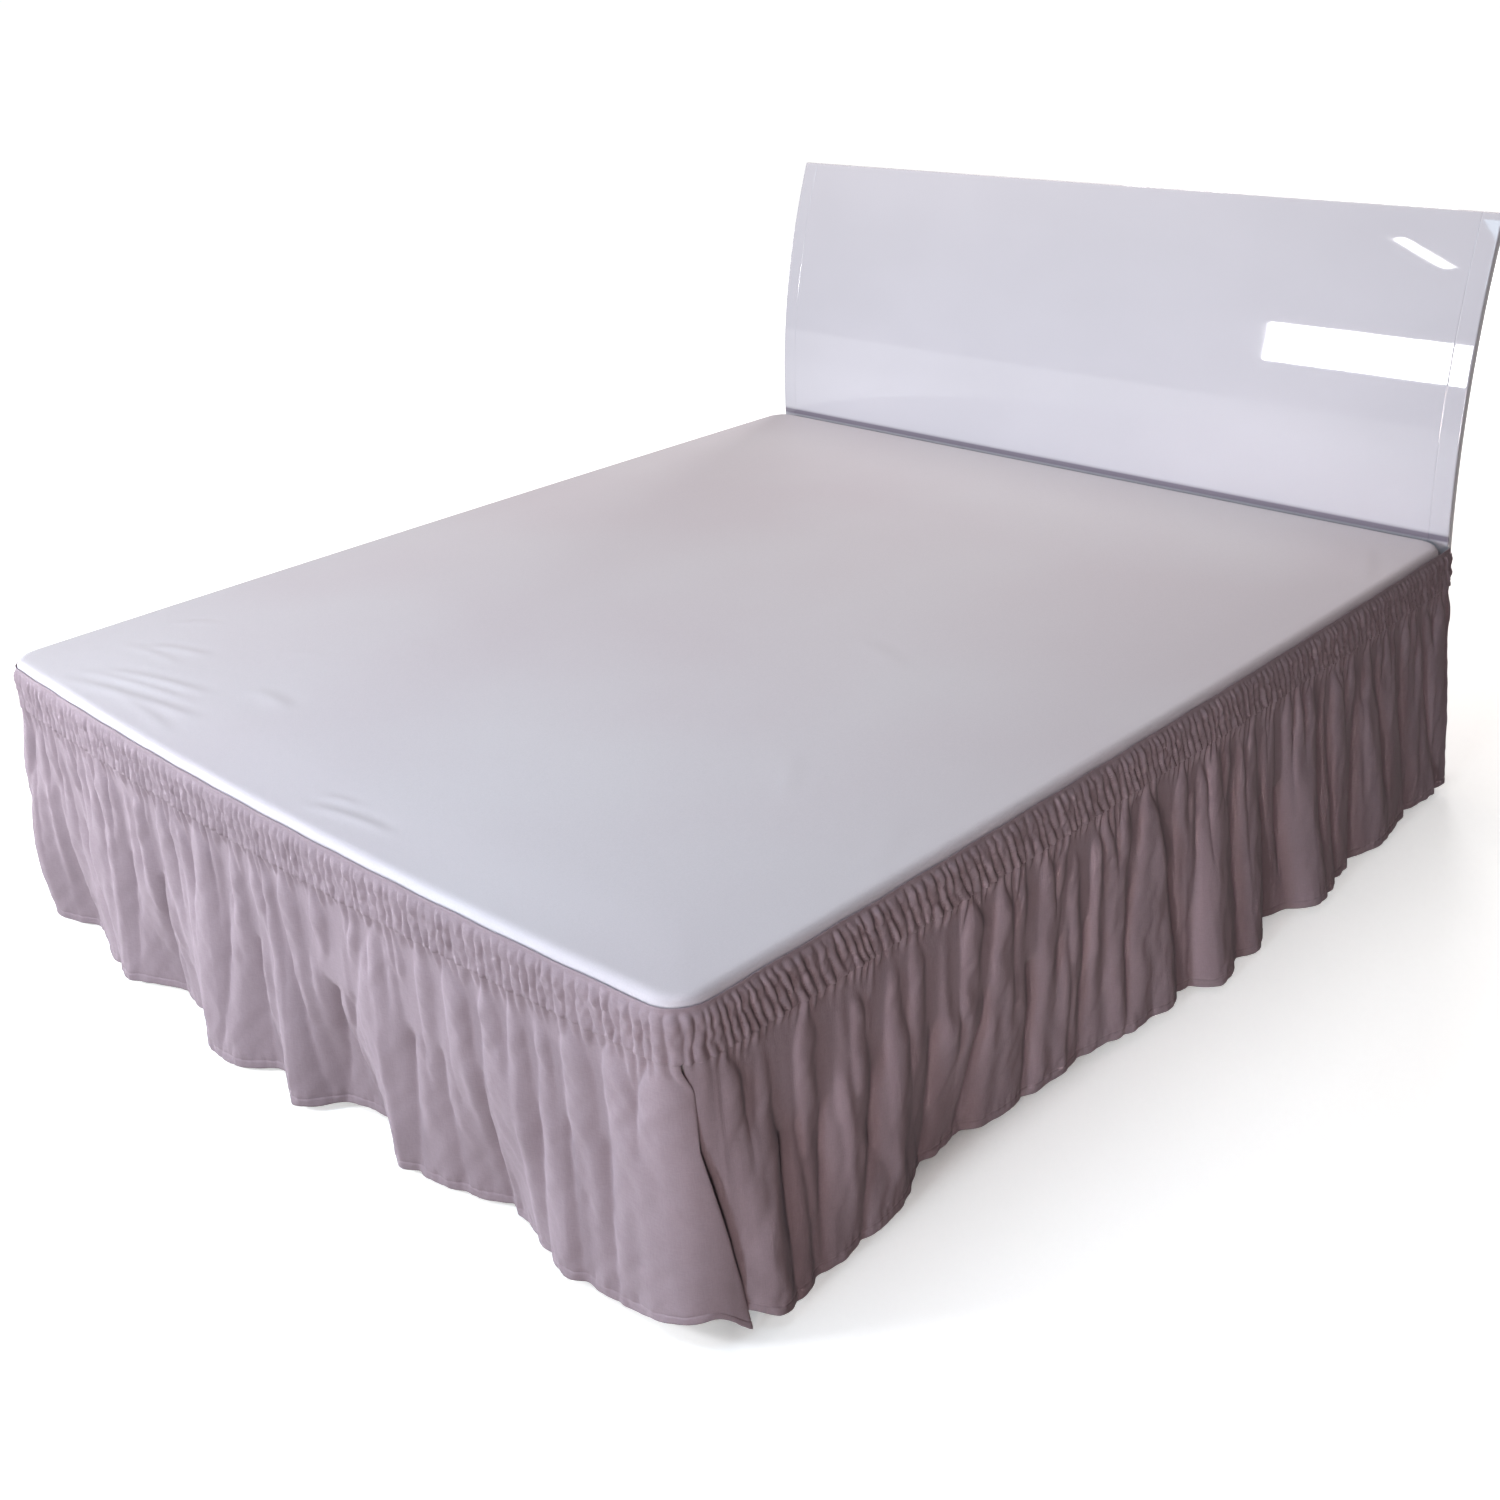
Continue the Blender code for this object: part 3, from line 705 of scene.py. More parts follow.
def drop_surface(side, start, end, pitch, rows):
    """Mid-surface of one gathered drop, as an array of rows of points from the heading down to the hem."""
    first = start + (SPLIT_GAP / 2 if side != "left" else 0.0)
    last = end - (SPLIT_GAP / 2 if side != "right" else 0.0)
    line = np.linspace(first, last, int(round((end - start) / pitch)) + 1)
    u, h = np.meshgrid(line, rows)
    folds = main_folds(side, u, h)
    zigzag = PUCKER_RISE * (pucker_gain(line) * pucker(line, 1.0))[None, :] * fall(h / ZIGZAG_ENDS)
    fine = PLEAT_GAIN * soft_pleats(line, rows, PLEAT_SEED + len(side))
    fine = fine - long_creases(side, u, h) - gathers(line, rows)
    waves = crumple(u, h, CRUMPLE_SEED + len(side), CRUMPLE_COUNT, CRUMPLE_LENGTHS)
    fine = fine + waves * smooth(h / CRUMPLE_FULL)
    shift = np.zeros_like(u)
    corner = np.zeros_like(u)
    tip = 0.0
    ends = 1.0
    if side == "foot":
        shift, corner, free, folds = foot_corners(u, h, start, end, folds)
        tip = TIP_DROP * smooth(1.0 - (end - u) / TIP_WIDTH) * h ** 3
    else:
        from_corner = u - start if side == "right" else end - u
        free, folds, held_in = tucked_corner(from_corner, h, folds)
        zigzag = zigzag * (1.0 - held_in)
        ends = smooth(np.minimum(u - first, last - u) / END_EASE)
        if side == "right":
            corner = fall(from_corner / FLAP_WIDTH)
    under = TOP_UNDER * fall(h / TOP_UNDER_ENDS)
    reach = kept_outside(BAND_MIDDLE + zigzag - under + folds + fine * free + stitched_hem(u, h), h)
    slope = smoothed(np.gradient(reach, axis=1) / (line[1] - line[0]), OVERHANG_WINDOW)
    lean = OVERHANG * np.clip(slope, -STEEPEST, STEEPEST) * free * smooth(h / OVERHANG_FULL)
    shift = (shift - lean * (1.0 - OVERHANG_FADE * h)) * ends
    lift = HEM_WAVE * h * (0.5 + 0.5 * np.sin(u * HEM_WAVES)) + CORNER_LIFT * corner * h ** 3 - tip
    tuck_up = TOP_TUCK * fall(h / TOP_TUCK_ENDS)
    return place(u + shift, reach, DROP_TOP + tuck_up - DROP * h + lift)


def heading_columns():
    """Distances of the heading's columns, further apart on the hidden left side."""
    fine_from = LEFT_CORNER - FINE_BEFORE_CORNER
    hidden = np.linspace(0.0, fine_from, int(round(LEFT_CORNER / HIDDEN_PITCH)))
    shown = np.linspace(fine_from, PATH_LENGTH, int(round((PATH_LENGTH - LEFT_CORNER) / HEADING_PITCH)))
    return np.concatenate([hidden[:-1], shown])


def heading_surface(levels):
    """Mid-surface of the shirred heading: a plain strip above and uneven puckers held by rows of elastic."""
    line = heading_columns()
    strip = PLAIN_STRIP / HEADING_HEIGHT
    rows = []
    for v in levels:
        grown = float(smooth((v - STRIP_HOLDS * strip) / (STRIP_EASE * strip)))
        held = min(1.0, sum(math.exp(-((v - at) / ELASTIC_HALF) ** 2) for at in ELASTIC_ROWS))
        middle = LOWEST_REACH + (PUCKER_MIDDLE - LOWEST_REACH) * grown
        rise = PUCKER_RISE * pucker_gain(line) * (STRIP_PUCKERS + (1.0 - STRIP_PUCKERS) * grown)
        ripple = pucker(line, v)
        h = np.full_like(line, v * HEADING_HEIGHT / DROP)
        rumple = RUMPLE_SHARE * grown * crumple(line, h, RUMPLE_SEED, RUMPLE_COUNT, RUMPLE_LENGTHS)
        flare = LOWER_EDGE_FLARE * float(smooth((v - LOWER_EDGE_FROM) / LOWER_EDGE_OVER))
        reach = middle + rise * (1.0 - ELASTIC_FLATTENS * held) * ripple + rumple
        reach = np.maximum(reach - ELASTIC_DIP * held * grown + flare, LOWEST_REACH)
        z = HEADING_TOP + HEADING_RISE * (1.0 - v) - HEADING_HEIGHT * v
        if v < UPPER_EDGE:
            z = z + (UPPER_EDGE_WAVE * np.sin(line * UPPER_EDGE_WAVES) + UPPER_EDGE_RIPPLE * ripple)
        rows.append(place(line, reach, z))
    return np.stack(rows)


def unit(vectors):
    """The vectors at length 1, and those of no length left at nothing."""
    return vectors / np.maximum(np.linalg.norm(vectors, axis=-1, keepdims=True), NO_LENGTH)


def border(index):
    """The outermost entries of a grid, once round."""
    return np.concatenate([index[0, :-1], index[:-1, -1], index[-1, :0:-1], index[:0:-1, 0]])


def shell(name, middle, thickness, material):
    """A closed sheet of cloth around a mid-surface grid, its edges rounded by one line along the middle.

    Rows run down and columns from left to right, seen from outside. thickness has one value a row.
    """
    rows, columns = middle.shape[:2]
    across = np.gradient(middle, axis=1)
    down = np.gradient(middle, axis=0)
    half = np.asarray(thickness) / 2
    offset = unit(np.cross(down, across)) * half.reshape(-1, 1, 1)
    ring = np.concatenate([
        middle[0, :-1] - unit(down[0, :-1]) * half[0],
        middle[:-1, -1] + unit(across[:-1, -1]) * half[:-1, None],
        middle[-1, :0:-1] + unit(down[-1, :0:-1]) * half[-1],
        middle[:0:-1, 0] - unit(across[:0:-1, 0]) * half[:0:-1, None],
    ])
    index = np.arange(rows * columns).reshape(rows, columns)
    loop = border(index)
    count = rows * columns
    a, b, c, d = index[:-1, :-1], index[:-1, 1:], index[1:, 1:], index[1:, :-1]
    front = np.stack([d, c, b, a], -1).reshape(-1, 4)
    back = np.stack([a, b, c, d], -1).reshape(-1, 4) + count
    tip = 2 * count + np.arange(len(loop))
    after = np.roll(loop, -1)
    tip_after = np.roll(tip, -1)
    upper = np.stack([loop, after, tip_after, tip], -1)
    lower = np.stack([tip, tip_after, after + count, loop + count], -1)
    points = np.concatenate([(middle + offset).reshape(-1, 3), (middle - offset).reshape(-1, 3), ring])
    return mesh_piece(name, points, np.concatenate([front, back, upper, lower]), material)


def mesh_piece(name, points, faces, material, extra=()):
    """A smooth-shaded object from points, four-sided faces, and any faces with more or fewer sides."""
    mesh = bpy.data.meshes.new(name)
    mesh.from_pydata(points.tolist(), [], faces.tolist() + [list(f) for f in extra])
    mesh.validate()
    mesh.shade_smooth()
    mesh.materials.append(material)
    item = bpy.data.objects.new(name, mesh)
    bpy.context.scene.collection.objects.link(item)
    return item


class Nodes:
    """A short way to build a material's nodes."""

    def __init__(self, name):
        self.material = bpy.data.materials.new(name)
        self.material.use_nodes = True
        self.tree = self.material.node_tree
        self.shader = self.tree.nodes["Principled BSDF"]
        self.coords = self.tree.nodes.new("ShaderNodeTexCoord")

    def add(self, kind, **values):
        node = self.tree.nodes.new(kind)
        for key, value in values.items():
            setattr(node, key, value)
        return node

    def link(self, source, target):
        self.tree.links.new(source, target)

    def fill(self, node, **values):
        """Set a node's sockets, each named with _ where its name has a space."""
        for key, value in values.items():
            node.inputs[key.replace("_", " ")].default_value = value

    def apart(self):
        """Object coordinates as separate X, Y and Z."""
        node = self.add("ShaderNodeSeparateXYZ")
        self.link(self.coords.outputs["Object"], node.inputs["Vector"])
        return node.outputs

    def noise(self, scale, detail=2.0, rough=0.5, stretch=(1.0, 1.0, 1.0)):
        """Noise over the object's coordinates, stretched by a factor each way."""
        spot = self.add("ShaderNodeMapping")
        self.fill(spot, Scale=stretch)
        self.link(self.coords.outputs["Object"], spot.inputs["Vector"])
        node = self.add("ShaderNodeTexNoise")
        self.fill(node, Scale=scale, Detail=detail, Roughness=rough)
        self.link(spot.outputs["Vector"], node.inputs["Vector"])
        return node.outputs["Fac"]

    def ramp(self, source, low, high, dark, light):
        """The dark color up to the low value, the light one from the high value, blended between."""
        node = self.add("ShaderNodeValToRGB")
        node.color_ramp.elements[0].position = low
        node.color_ramp.elements[1].position = high
        node.color_ramp.elements[0].color = (*dark, 1.0)
        node.color_ramp.elements[1].color = (*light, 1.0)
        self.link(source, node.inputs["Fac"])
        return node.outputs["Color"]

    def ease(self, source, low, high, at_low=0.0, at_high=1.0):
        """A value that eases from one level to another while the source goes from low to high."""
        node = self.add("ShaderNodeMapRange", interpolation_type="SMOOTHSTEP")
        self.fill(node, From_Min=low, From_Max=high, To_Min=at_low, To_Max=at_high)
        self.link(source, node.inputs["Value"])
        return node.outputs["Result"]

    def multiplied(self, first, second):
        node = self.add("ShaderNodeMix", data_type="RGBA", blend_type="MULTIPLY")
        self.fill(node, Factor=1.0)
        self.link(first, node.inputs["A"])
        self.link(second, node.inputs["B"])
        return node.outputs["Result"]

    def math(self, how, first, second):
        node = self.add("ShaderNodeMath", operation=how)
        self.link(first, node.inputs[0])
        if isinstance(second, float):
            node.inputs[1].default_value = second
        else:
            self.link(second, node.inputs[1])
        return node.outputs["Value"]

    def relief(self, height, strength, distance):
        node = self.add("ShaderNodeBump")
        self.fill(node, Strength=strength, Distance=distance)
        self.link(height, node.inputs["Height"])
        self.link(node.outputs["Normal"], self.shader.inputs["Normal"])

    def color(self, source):
        self.link(source, self.shader.inputs["Base Color"])

    def set(self, **values):
        self.fill(self.shader, **values)


def tint(color, factor):
    return tuple(c * factor for c in color)


def cloth_material(name):
    """Brushed woven cloth: uneven threads both ways, a faint worn bloom, soft sheen."""
    m = Nodes(name)
    m.set(Roughness=0.90, Sheen_Weight=0.12, Sheen_Roughness=0.45, Specular_IOR_Level=0.18)
    m.set(Sheen_Tint=(0.93, 0.86, 0.92, 1.0))
    broad = m.noise(scale=5.0, detail=3.0, rough=0.55)
    slub_down = m.noise(scale=760.0, rough=0.6, stretch=(1.0, 1.0, 0.10))
    slub_across = m.noise(scale=760.0, rough=0.6, stretch=(0.14, 0.14, 1.0))
    threads = m.math("ADD", slub_down, slub_across)
    shade = m.ramp(broad, low=0.30, high=0.72, dark=tint(CLOTH_COLOR, 0.95), light=tint(CLOTH_COLOR, 1.05))
    half = m.math("MULTIPLY", threads, 0.5)
    fibre = m.ramp(half, low=0.36, high=0.62, dark=(0.90, 0.89, 0.90), light=WHITE)
    m.color(m.multiplied(shade, fibre))
    crush = m.noise(scale=85.0, detail=3.0, rough=0.55)
    weave = m.math("MULTIPLY", threads, THREAD_RELIEF)
    m.relief(m.math("ADD", weave, crush), strength=0.42, distance=0.0009)
    return m.material


def ticking_material(name, color):
    """Close satin-faced mattress cover with a faint stipple and slow changes of tone."""
    m = Nodes(name)
    m.set(Roughness=0.58, Sheen_Weight=0.10, Sheen_Roughness=0.4, Specular_IOR_Level=0.25)
    broad = m.noise(scale=1.7)
    warm = tuple(c * part for c, part in zip(color, TICKING_WARM))
    shade = m.ramp(broad, low=0.36, high=0.66, dark=warm, light=tint(color, 1.02))
    stipple = m.noise(scale=520.0, rough=0.6)
    fine = m.ramp(stipple, low=0.35, high=0.65, dark=(0.95, 0.95, 0.95), light=WHITE)
    m.color(m.multiplied(shade, fine))
    quilt = m.noise(scale=24.0)
    stipple = m.math("MULTIPLY", stipple, STIPPLE_RELIEF)
    m.relief(m.math("ADD", stipple, quilt), strength=0.22, distance=0.0014)
    return m.material


def lacquer_material(name, color):
    """Pale lacquer under a clear coat, slightly uneven, with a painted contact shadow where the mattress
    meets it.
    """
    m = Nodes(name)
    m.set(Roughness=0.60, Coat_Weight=1.0, Coat_Roughness=0.03, Coat_IOR=1.5, Specular_IOR_Level=0.0)
    broad = m.noise(scale=2.2, stretch=(1.0, 1.0, 1.6))
    tone = m.ramp(broad, low=0.32, high=0.70, dark=tint(color, 0.965), light=tint(color, 1.02))
    at = m.apart()
    # Painted shadow: the colour darkens in a band at the mattress's top edge, on the panel's front only,
    # standing in for the shade where the mattress meets the panel.
    from_contact_shadow = m.math("ABSOLUTE", m.math("SUBTRACT", at["Z"], CONTACT_SHADOW_Z), 0.0)
    behind = m.math("MAXIMUM", m.math("SUBTRACT", at["Y"], CONTACT_SHADOW_FRONT), 0.0)
    from_contact_shadow = m.math("ADD", from_contact_shadow, m.math("MULTIPLY", behind, CONTACT_SHADOW_FADE))
    inner, outer = (CONTACT_SHADOW_HALF * part for part in CONTACT_SHADOW_EASE)
    contact_shadow = m.ramp(from_contact_shadow, low=inner, high=outer, dark=CONTACT_SHADOW_COLOR, light=WHITE)
    m.color(m.multiplied(tone, contact_shadow))
    m.relief(m.noise(scale=7.0, detail=1.0, rough=0.4), strength=0.05, distance=0.002)
    return m.material


def board_material(name):
    """Plain board with a long grain."""
    m = Nodes(name)
    m.set(Roughness=0.62, Specular_IOR_Level=0.35)
    grain = m.noise(scale=9.0, detail=6.0, rough=0.65, stretch=(0.25, 6.0, 6.0))
    pores = m.noise(scale=160.0, rough=0.6, stretch=(0.05, 1.0, 1.0))
    shade = m.ramp(grain, low=0.34, high=0.68, dark=BOARD_DARK, light=BOARD_LIGHT)
    spots = m.ramp(pores, low=0.30, high=0.55, dark=(0.78, 0.78, 0.78), light=WHITE)
    m.color(m.multiplied(shade, spots))
    m.relief(m.math("ADD", grain, pores), strength=0.25, distance=0.0008)
    return m.material


def floor_material(name):
    """Pale seamless floor that lightens to white away from the bed, and has no glow under it."""
    m = Nodes(name)
    m.set(Roughness=0.75, Specular_IOR_Level=0.12)
    distance = m.add("ShaderNodeVectorMath", operation="LENGTH")
    m.link(m.coords.outputs["Object"], distance.inputs[0])
    spread = m.ease(distance.outputs["Value"], GLOW_FROM, GLOW_TO, GLOW_NEAR, GLOW_FAR)
    at = m.apart()
    across = m.math("MULTIPLY", m.math("ABSOLUTE", at["X"], 0.0), 1.0 / HALF_WIDTH)
    along = m.math("MULTIPLY", m.math("ABSOLUTE", at["Y"], 0.0), 1.0 / HALF_LENGTH)
    clear_of_bed = m.ease(m.math("MAXIMUM", across, along), *GLOW_EDGE)
    m.link(m.math("MULTIPLY", spread, clear_of_bed), m.shader.inputs["Emission Strength"])
    m.set(Emission_Color=(*WHITE, 1.0))
    m.color(m.ramp(m.noise(scale=3.0), low=0.3, high=0.7, dark=FLOOR_DARK, light=FLOOR_LIGHT))
    return m.material


def drop_rows():
    """Rows down a drop, closer together under the heading and at the hem's stitches."""
    stitch = 1.0 - HEM_STITCH / DROP
    near_stitch = 0.008
    # Each stretch: where it begins, where it ends, how many rows mark it
    stretches = (
        (0.0, 0.05, 7),
        (0.05, 0.30, 19),
        (0.30, 0.92, 24),
        (0.92, stitch - near_stitch, 4),
        (stitch - near_stitch, stitch + near_stitch, 6),
        (stitch + near_stitch, 1.0, 4),
    )
    rows = [np.linspace(start, end, count)[:-1] for start, end, count in stretches]
    return np.concatenate(rows + [[1.0]])


def build_cloth():
    """The heading and the three drops."""
    levels = np.concatenate([STRIP_ROWS, np.linspace(*PUCKER_ROWS)])
    pieces = {}
    heading = shell("skirt_heading", heading_surface(levels), [CLOTH] * len(levels),
                    cloth_material("Heading cloth"))
    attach(heading, "root")
    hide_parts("heading")
    pieces["heading"] = heading
    rows = drop_rows()
    turned = smooth((rows - (1.0 - HEM_STITCH / DROP)) / HEM_TURN_EASE)
    thickness = CLOTH + (HEM_CLOTH - CLOTH) * turned
    spans = {
        "left": (0.0, LEFT_CORNER),
        "foot": (LEFT_CORNER, RIGHT_CORNER),
        "right": (RIGHT_CORNER, PATH_LENGTH),
    }
    for side, (start, end) in spans.items():
        surface = drop_surface(side, start, end, DROP_PITCH[side], rows)
        cloth = cloth_material(side.capitalize() + " drop cloth")
        piece = shell("skirt_drop_" + side, surface, thickness, cloth)
        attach(piece, "root")
        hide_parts("drop_" + side)
        pieces[side] = piece
    return pieces


def spaced(low, high, zone):
    """Grid lines from low to high, fine inside the zone and coarse outside it."""
    lines = [low]
    while lines[-1] < high:
        inside = zone[0] <= lines[-1] < zone[1]
        lines.append(lines[-1] + (FINE_GRID if inside else COARSE_GRID))
    lines = np.array(lines)
    return low + (lines - low) * (high - low) / (lines[-1] - low)


def wrinkle_height(x, y):
    """Height of the soft wrinkles in the cover."""
    total = np.zeros_like(x)
    for x0, y0, x1, y1, height, half_width in in_metres(WRINKLES, 6):
        length = math.hypot(x1 - x0, y1 - y0)
        ux, uy = (x1 - x0) / length, (y1 - y0) / length
        along = (x - x0) * ux + (y - y0) * uy
        bend = WRINKLE_BEND * np.sin(np.pi * np.clip(along / length, 0, 1))
        aside = -(x - x0) * uy + (y - y0) * ux - bend
        fade = WRINKLE_ENDS * length
        ends = smooth(along / fade) * smooth((length - along) / fade)
        ridge = bump(aside / half_width)
        ridge = ridge - WRINKLE_HOLLOW * bump((aside - WRINKLE_HOLLOW_AT * half_width) / half_width)
        total += height * ends * ridge
    return total


def mattress_plan():
    """A grid over the mattress from above, fitted to its bowed outline, and each point's depth inside it."""
    r = PLAN_CORNER
    turn = np.linspace(0.0, math.pi / 2, CORNER_LINES)[1:]
    rim = MATTRESS_ROUND * (1.0 - np.cos(np.linspace(0.0, math.pi / 2, RIM_LINES)[1:]))
    inner_x = spaced(-HALF_WIDTH + MATTRESS_ROUND, HALF_WIDTH - MATTRESS_ROUND, FINE_X)
    left = -HALF_WIDTH + np.concatenate([[0.0], rim[:-1]])
    across = np.concatenate([left, inner_x, HALF_WIDTH - rim[-2::-1], [HALF_WIDTH]])
    near = np.unique(np.round(np.concatenate([[0.0], r * (1.0 - np.cos(turn)), rim]), 6))
    inner_y = spaced(-HALF_LENGTH + r, HALF_LENGTH - r, FINE_Y)
    along = np.concatenate([-HALF_LENGTH + near[:-1], inner_y, HALF_LENGTH - near[-2::-1]])
    x, y = np.meshgrid(across, along)
    from_end = HALF_LENGTH - np.abs(y)
    cut = np.where(from_end < r, r - np.sqrt(np.maximum(0.0, r * r - (r - from_end) ** 2)), 0.0)
    side = HALF_WIDTH + SIDE_BOW * np.maximum(0.0, 1 - (y / HALF_LENGTH) ** 2)
    x = x / HALF_WIDTH * (side - cut)
    bow = FOOT_BOW * np.maximum(0.0, 1 - (x / (HALF_WIDTH - r)) ** 2)
    y = y - bow * smooth((-BOW_FROM - y) / BOW_OVER)
    qx = np.abs(x) - (side - r)
    qy = np.where(y < 0, -y - (HALF_LENGTH + bow - r), y - (HALF_LENGTH - r))
    outside = np.hypot(np.maximum(qx, 0.0), np.maximum(qy, 0.0))
    depth = np.maximum(r - (outside + np.minimum(np.maximum(qx, qy), 0.0)), 0.0)
    return x, y, depth


def mattress_top(x, y, depth):
    """Height of the mattress's top: rounded at the rim, slightly crowned, with wrinkles in its cover."""
    inward = np.clip(MATTRESS_ROUND - depth, 0.0, MATTRESS_ROUND)
    z = MATTRESS_TOP - MATTRESS_ROUND + np.sqrt(np.maximum(0.0, MATTRESS_ROUND ** 2 - inward ** 2))
    z = z - MATTRESS_CROWN * fall(depth / CROWN_WIDTH) * smooth(depth / CROWN_EDGE)
    return z + wrinkle_height(x, y) * smooth(depth / WRINKLE_EDGE)


def build_mattress(material):
    """The mattress as one closed body: its top, its sides as rings of points, and a flat underside."""
    x, y, depth = mattress_plan()
    rows, columns = x.shape
    top = np.stack([x, y - CENTRE_Y, mattress_top(x, y, depth)], -1).reshape(-1, 3)
    index = np.arange(rows * columns).reshape(rows, columns)
    corners = [index[:-1, :-1], index[:-1, 1:], index[1:, 1:], index[1:, :-1]]
    faces = [np.stack(corners, -1).reshape(-1, 4)]
    above = border(index)
    edge = top[above]
    away = edge - np.array([0.0, -CENTRE_Y, 0.0])
    away[:, 2] = 0.0
    away /= np.linalg.norm(away, axis=1, keepdims=True)
    points = [top]
    start = rows * columns
    for level, inset in MATTRESS_SIDE:
        ring = edge - away * inset
        ring[:, 2] = level
        points.append(ring)
        below = start + np.arange(len(above))
        faces.append(np.stack([above, below, np.roll(below, -1), np.roll(above, -1)], -1))
        above = below
        start += len(above)
    item = mesh_piece("mattress_body", np.concatenate(points), np.concatenate(faces), material,
                      extra=[above[::-1].tolist()])
    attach(item, "root")
    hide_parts("mattress")


def head_curve(z):
    """Place of the headboard's front face at a height: upright below, curved back above."""
    bend = np.maximum(0.0, (z - HEAD_BEND_FROM) / (HEAD_TOP - HEAD_BEND_FROM))
    return HALF_LENGTH + HEAD_GAP - CENTRE_Y + HEAD_LEAN * bend ** 2


def head_section():
    """The headboard's outline seen from above, once round: across it, and back from its front face."""
    half = HEAD_WIDTH / 2
    soft = HEAD_ROUND
    arc = np.linspace(0.0, math.pi / 2, HEAD_ROUND_LINES)
    line = half - INLAY_FROM_EDGE
    front = [(-half + soft * (1 - math.sin(t)), soft * (1 - math.cos(t))) for t in arc[::-1]]
    front.append((-half + soft + SUPPORT, 0.0))
    for at in (-line, line):
        front.append((at - INLAY_WIDTH / 2 - SUPPORT, 0.0))
        front += [(at + k * INLAY_WIDTH, depth * INLAY_DEPTH) for k, depth in INLAY_GROOVE]
        front.append((at + INLAY_WIDTH / 2 + SUPPORT, 0.0))
        if at < 0:
            inner = line - HEAD_FRONT_MARGIN
            front += [(x, 0.0) for x in np.linspace(-inner, inner, HEAD_FRONT_LINES)]
    front.append((half - soft - SUPPORT, 0.0))
    front += [(half - soft * (1 - math.sin(t)), soft * (1 - math.cos(t))) for t in arc]
    edge = half - HEAD_BACK_MARGIN
    back = [(half - soft * (1 - math.cos(t)), HEAD_THICK - soft * (1 - math.sin(t))) for t in arc]
    back += [(x, HEAD_THICK) for x in np.linspace(edge, -edge, HEAD_BACK_LINES)]
    back += [(-x, y) for x, y in back[HEAD_ROUND_LINES - 1::-1]]
    return np.array(front + back)


def build_headboard(material):
    """A panel with softened edges and a fine inlaid line near each side, curved back above the mattress."""
    section = head_section()
    upright = np.linspace(HEAD_UPRIGHT_FROM, HEAD_BEND_FROM, HEAD_UPRIGHT_ROWS)[:-1]
    bent = np.linspace(HEAD_BEND_FROM, HEAD_TOP - HEAD_ROUND, HEAD_BENT_ROWS)
    z_rows = np.concatenate([[0.0], upright, bent])
    y_rows = head_curve(z_rows)
    slope = (head_curve(z_rows + SLOPE_STEP) - head_curve(z_rows - SLOPE_STEP)) / (2 * SLOPE_STEP)
    slope = np.where(z_rows < HEAD_BEND_FROM + TINY, 0.0, slope)
    along = unit(np.stack([slope, np.ones_like(slope)], -1))
    inward = np.stack([along[:, 1], -along[:, 0]], -1)
    points = []
    for y, z, into in zip(y_rows, z_rows, inward):
        points.append(np.stack([section[:, 0], y + into[0] * section[:, 1], z + into[1] * section[:, 1]], -1))
    middle = np.array([0.0, HEAD_THICK / 2])
    toward = np.clip((section - middle) / np.array([HEAD_WIDTH / 2, HEAD_THICK / 2]), -1.0, 1.0)
    for t in np.linspace(0.0, math.pi / 2, HEAD_ROUND_LINES)[1:]:
        ring = section - toward * (HEAD_ROUND * (1 - math.cos(t)))
        rise = HEAD_ROUND * math.sin(t)
        y = y_rows[-1] + inward[-1][0] * ring[:, 1] + along[-1][0] * rise
        z = z_rows[-1] + inward[-1][1] * ring[:, 1] + along[-1][1] * rise
        points.append(np.stack([ring[:, 0], y, z], -1))
    index = np.arange(len(points) * len(section)).reshape(len(points), len(section))
    below, above = index[:-1], index[1:]
    faces = np.stack([below, np.roll(below, -1, 1), np.roll(above, -1, 1), above], -1).reshape(-1, 4)
    item = mesh_piece("headboard_panel", np.concatenate(points), faces, material,
                      extra=[index[0][::-1].tolist(), index[-1].tolist()])
    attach(item, "root")
    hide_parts("headboard")


def add_item(name, data, side, up, back, at):
    """An object in the scene with the given axes and place."""
    item = bpy.data.objects.new(name, data)
    item.matrix_world = Matrix((*zip(side, up, back, at), (0.0, 0.0, 0.0, 1.0)))
    bpy.context.scene.collection.objects.link(item)
    return item


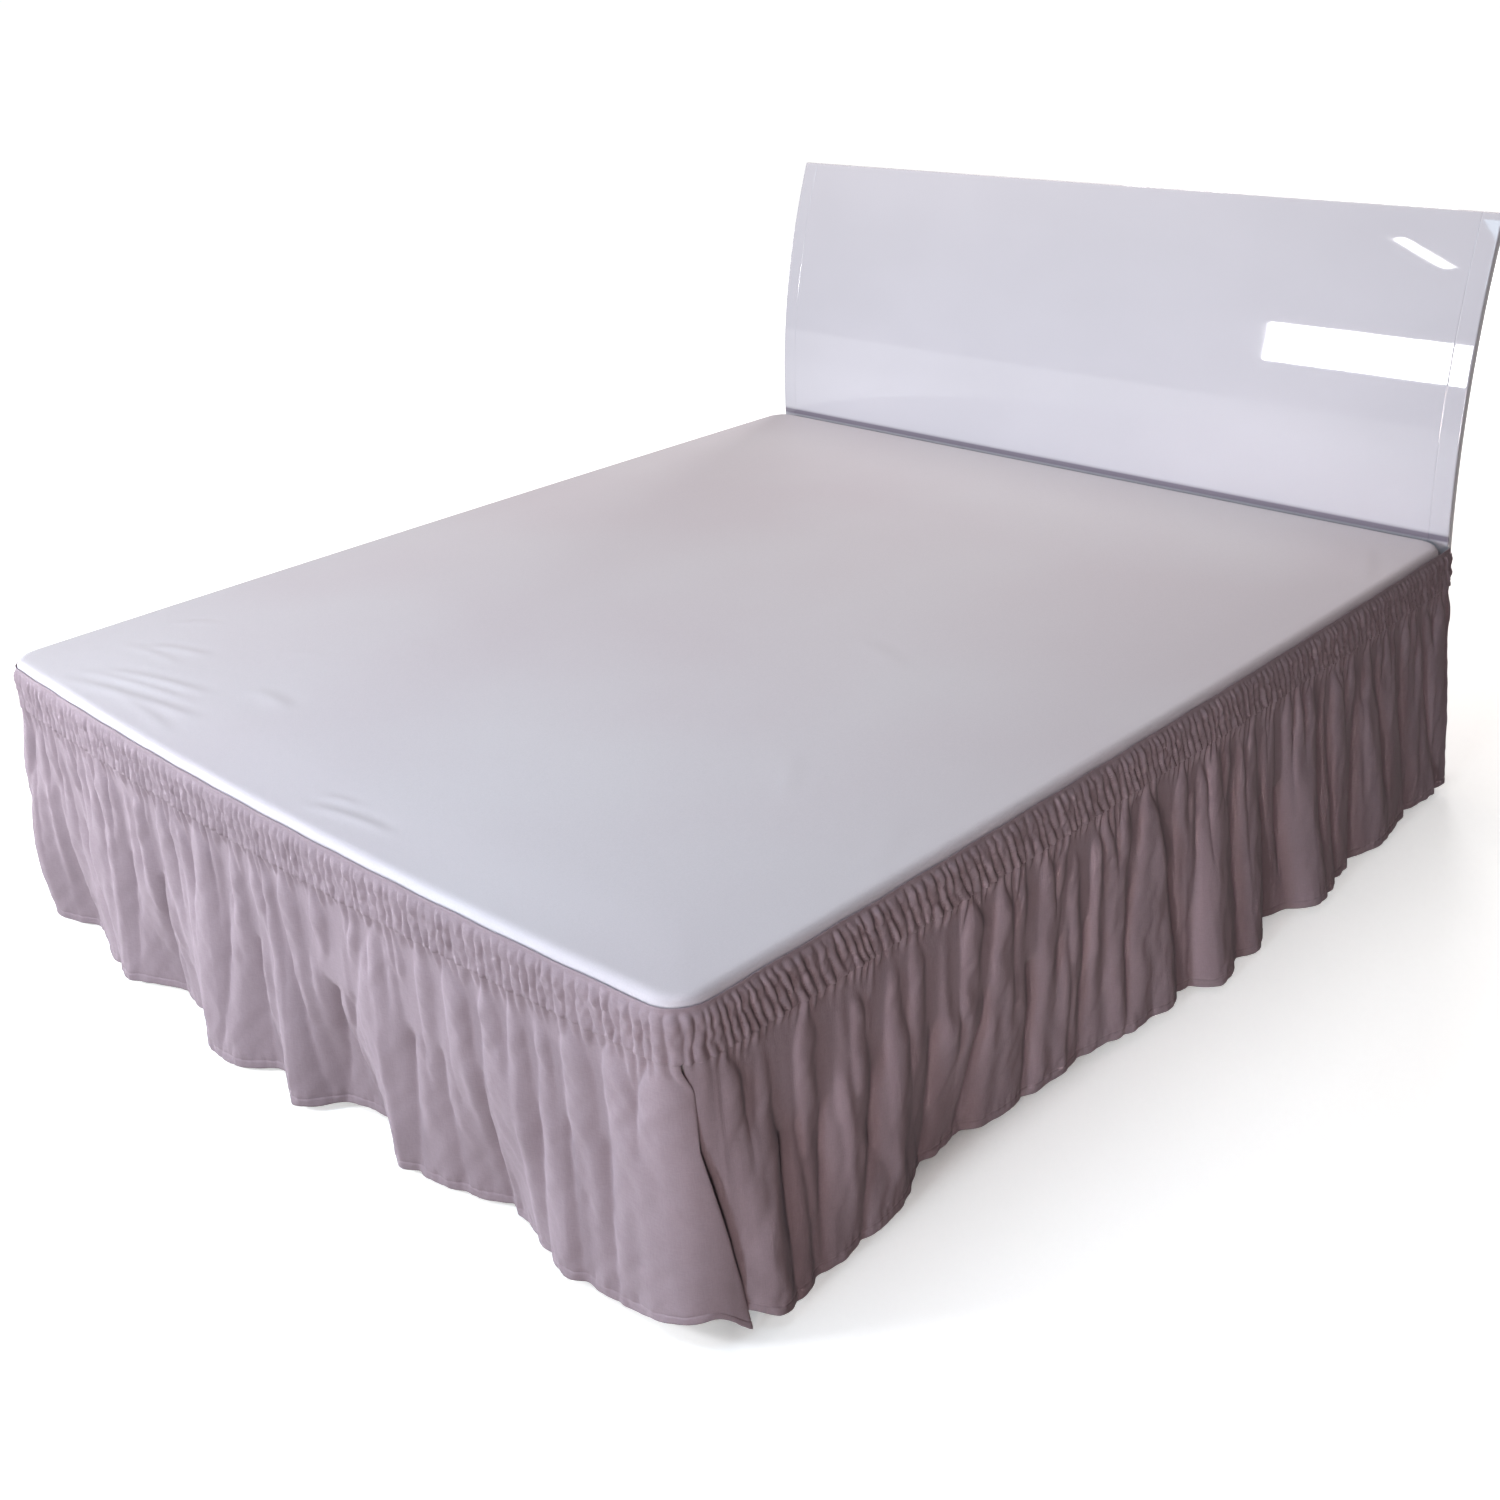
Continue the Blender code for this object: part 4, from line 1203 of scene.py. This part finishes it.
def add_camera():
    right = Vector(CAMERA_RIGHT).normalized()
    up = Vector(CAMERA_UP)
    up = (up - right * up.dot(right)).normalized()
    data = bpy.data.cameras.new("Camera")
    data.sensor_width = SENSOR
    data.sensor_fit = "HORIZONTAL"
    data.lens = LENS
    data.shift_x = SHIFT_X
    data.shift_y = SHIFT_Y
    data.clip_end = CLIP_END
    bpy.context.scene.camera = add_item("Camera", data, right, up, right.cross(up), CAMERA_AT)


def add_lights():
    """Rectangles of light, each facing its aim, with its long side level or turned as given."""
    for name, at, aim, size, watts, color in LIGHTS:
        data = bpy.data.lights.new(name, "AREA")
        data.shape = "RECTANGLE"
        data.size, data.size_y = size
        data.energy = watts
        data.color = color
        if name in BEAMS:
            data.spread = math.radians(BEAMS[name])
        back = (Vector(at) - Vector(aim)).normalized()
        side = Vector(TURNED.get(name, (1.0, 0.0, 0.0)))
        side = (side - back * side.dot(back)).normalized()
        add_item(name, data, side, back.cross(side), back, at)


def add_world():
    """A dim room all round, seen as plain white where the picture looks past the floor."""
    world = bpy.data.worlds.new("Studio")
    world.use_nodes = True
    nodes = world.node_tree.nodes
    links = world.node_tree.links
    room = nodes["Background"]
    room.inputs["Color"].default_value = (*ROOM_COLOR, 1.0)
    room.inputs["Strength"].default_value = ROOM_STRENGTH
    white = nodes.new("ShaderNodeBackground")
    white.inputs["Color"].default_value = (*WHITE, 1.0)
    seen = nodes.new("ShaderNodeLightPath")
    mixed = nodes.new("ShaderNodeMixShader")
    links.new(seen.outputs["Is Camera Ray"], mixed.inputs[0])
    links.new(room.outputs["Background"], mixed.inputs[1])
    links.new(white.outputs["Background"], mixed.inputs[2])
    links.new(mixed.outputs["Shader"], nodes["World Output"].inputs["Surface"])
    bpy.context.scene.world = world


def add_floor():
    """One large flat sheet, whose glow doesn't light the bed."""
    half = FLOOR_HALF
    points = np.array([(-half, -half, 0.0), (half, -half, 0.0), (half, half, 0.0), (-half, half, 0.0)])
    floor = mesh_piece("floor", points, np.array([[0, 1, 2, 3]]), floor_material("Pale floor"))
    floor.visible_diffuse = False


def main():
    bpy.context.scene.view_settings.view_transform = "Standard"
    pieces = build_cloth()
    build_mattress(ticking_material("Mattress ticking", TICKING_COLOR))
    build_headboard(lacquer_material("Pale lacquer", LACQUER_COLOR))
    board = board_material("Base board")
    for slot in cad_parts["bed_base"].material_slots:
        slot.material = board
    add_floor()
    add_lights()
    add_world()
    add_camera()


main()
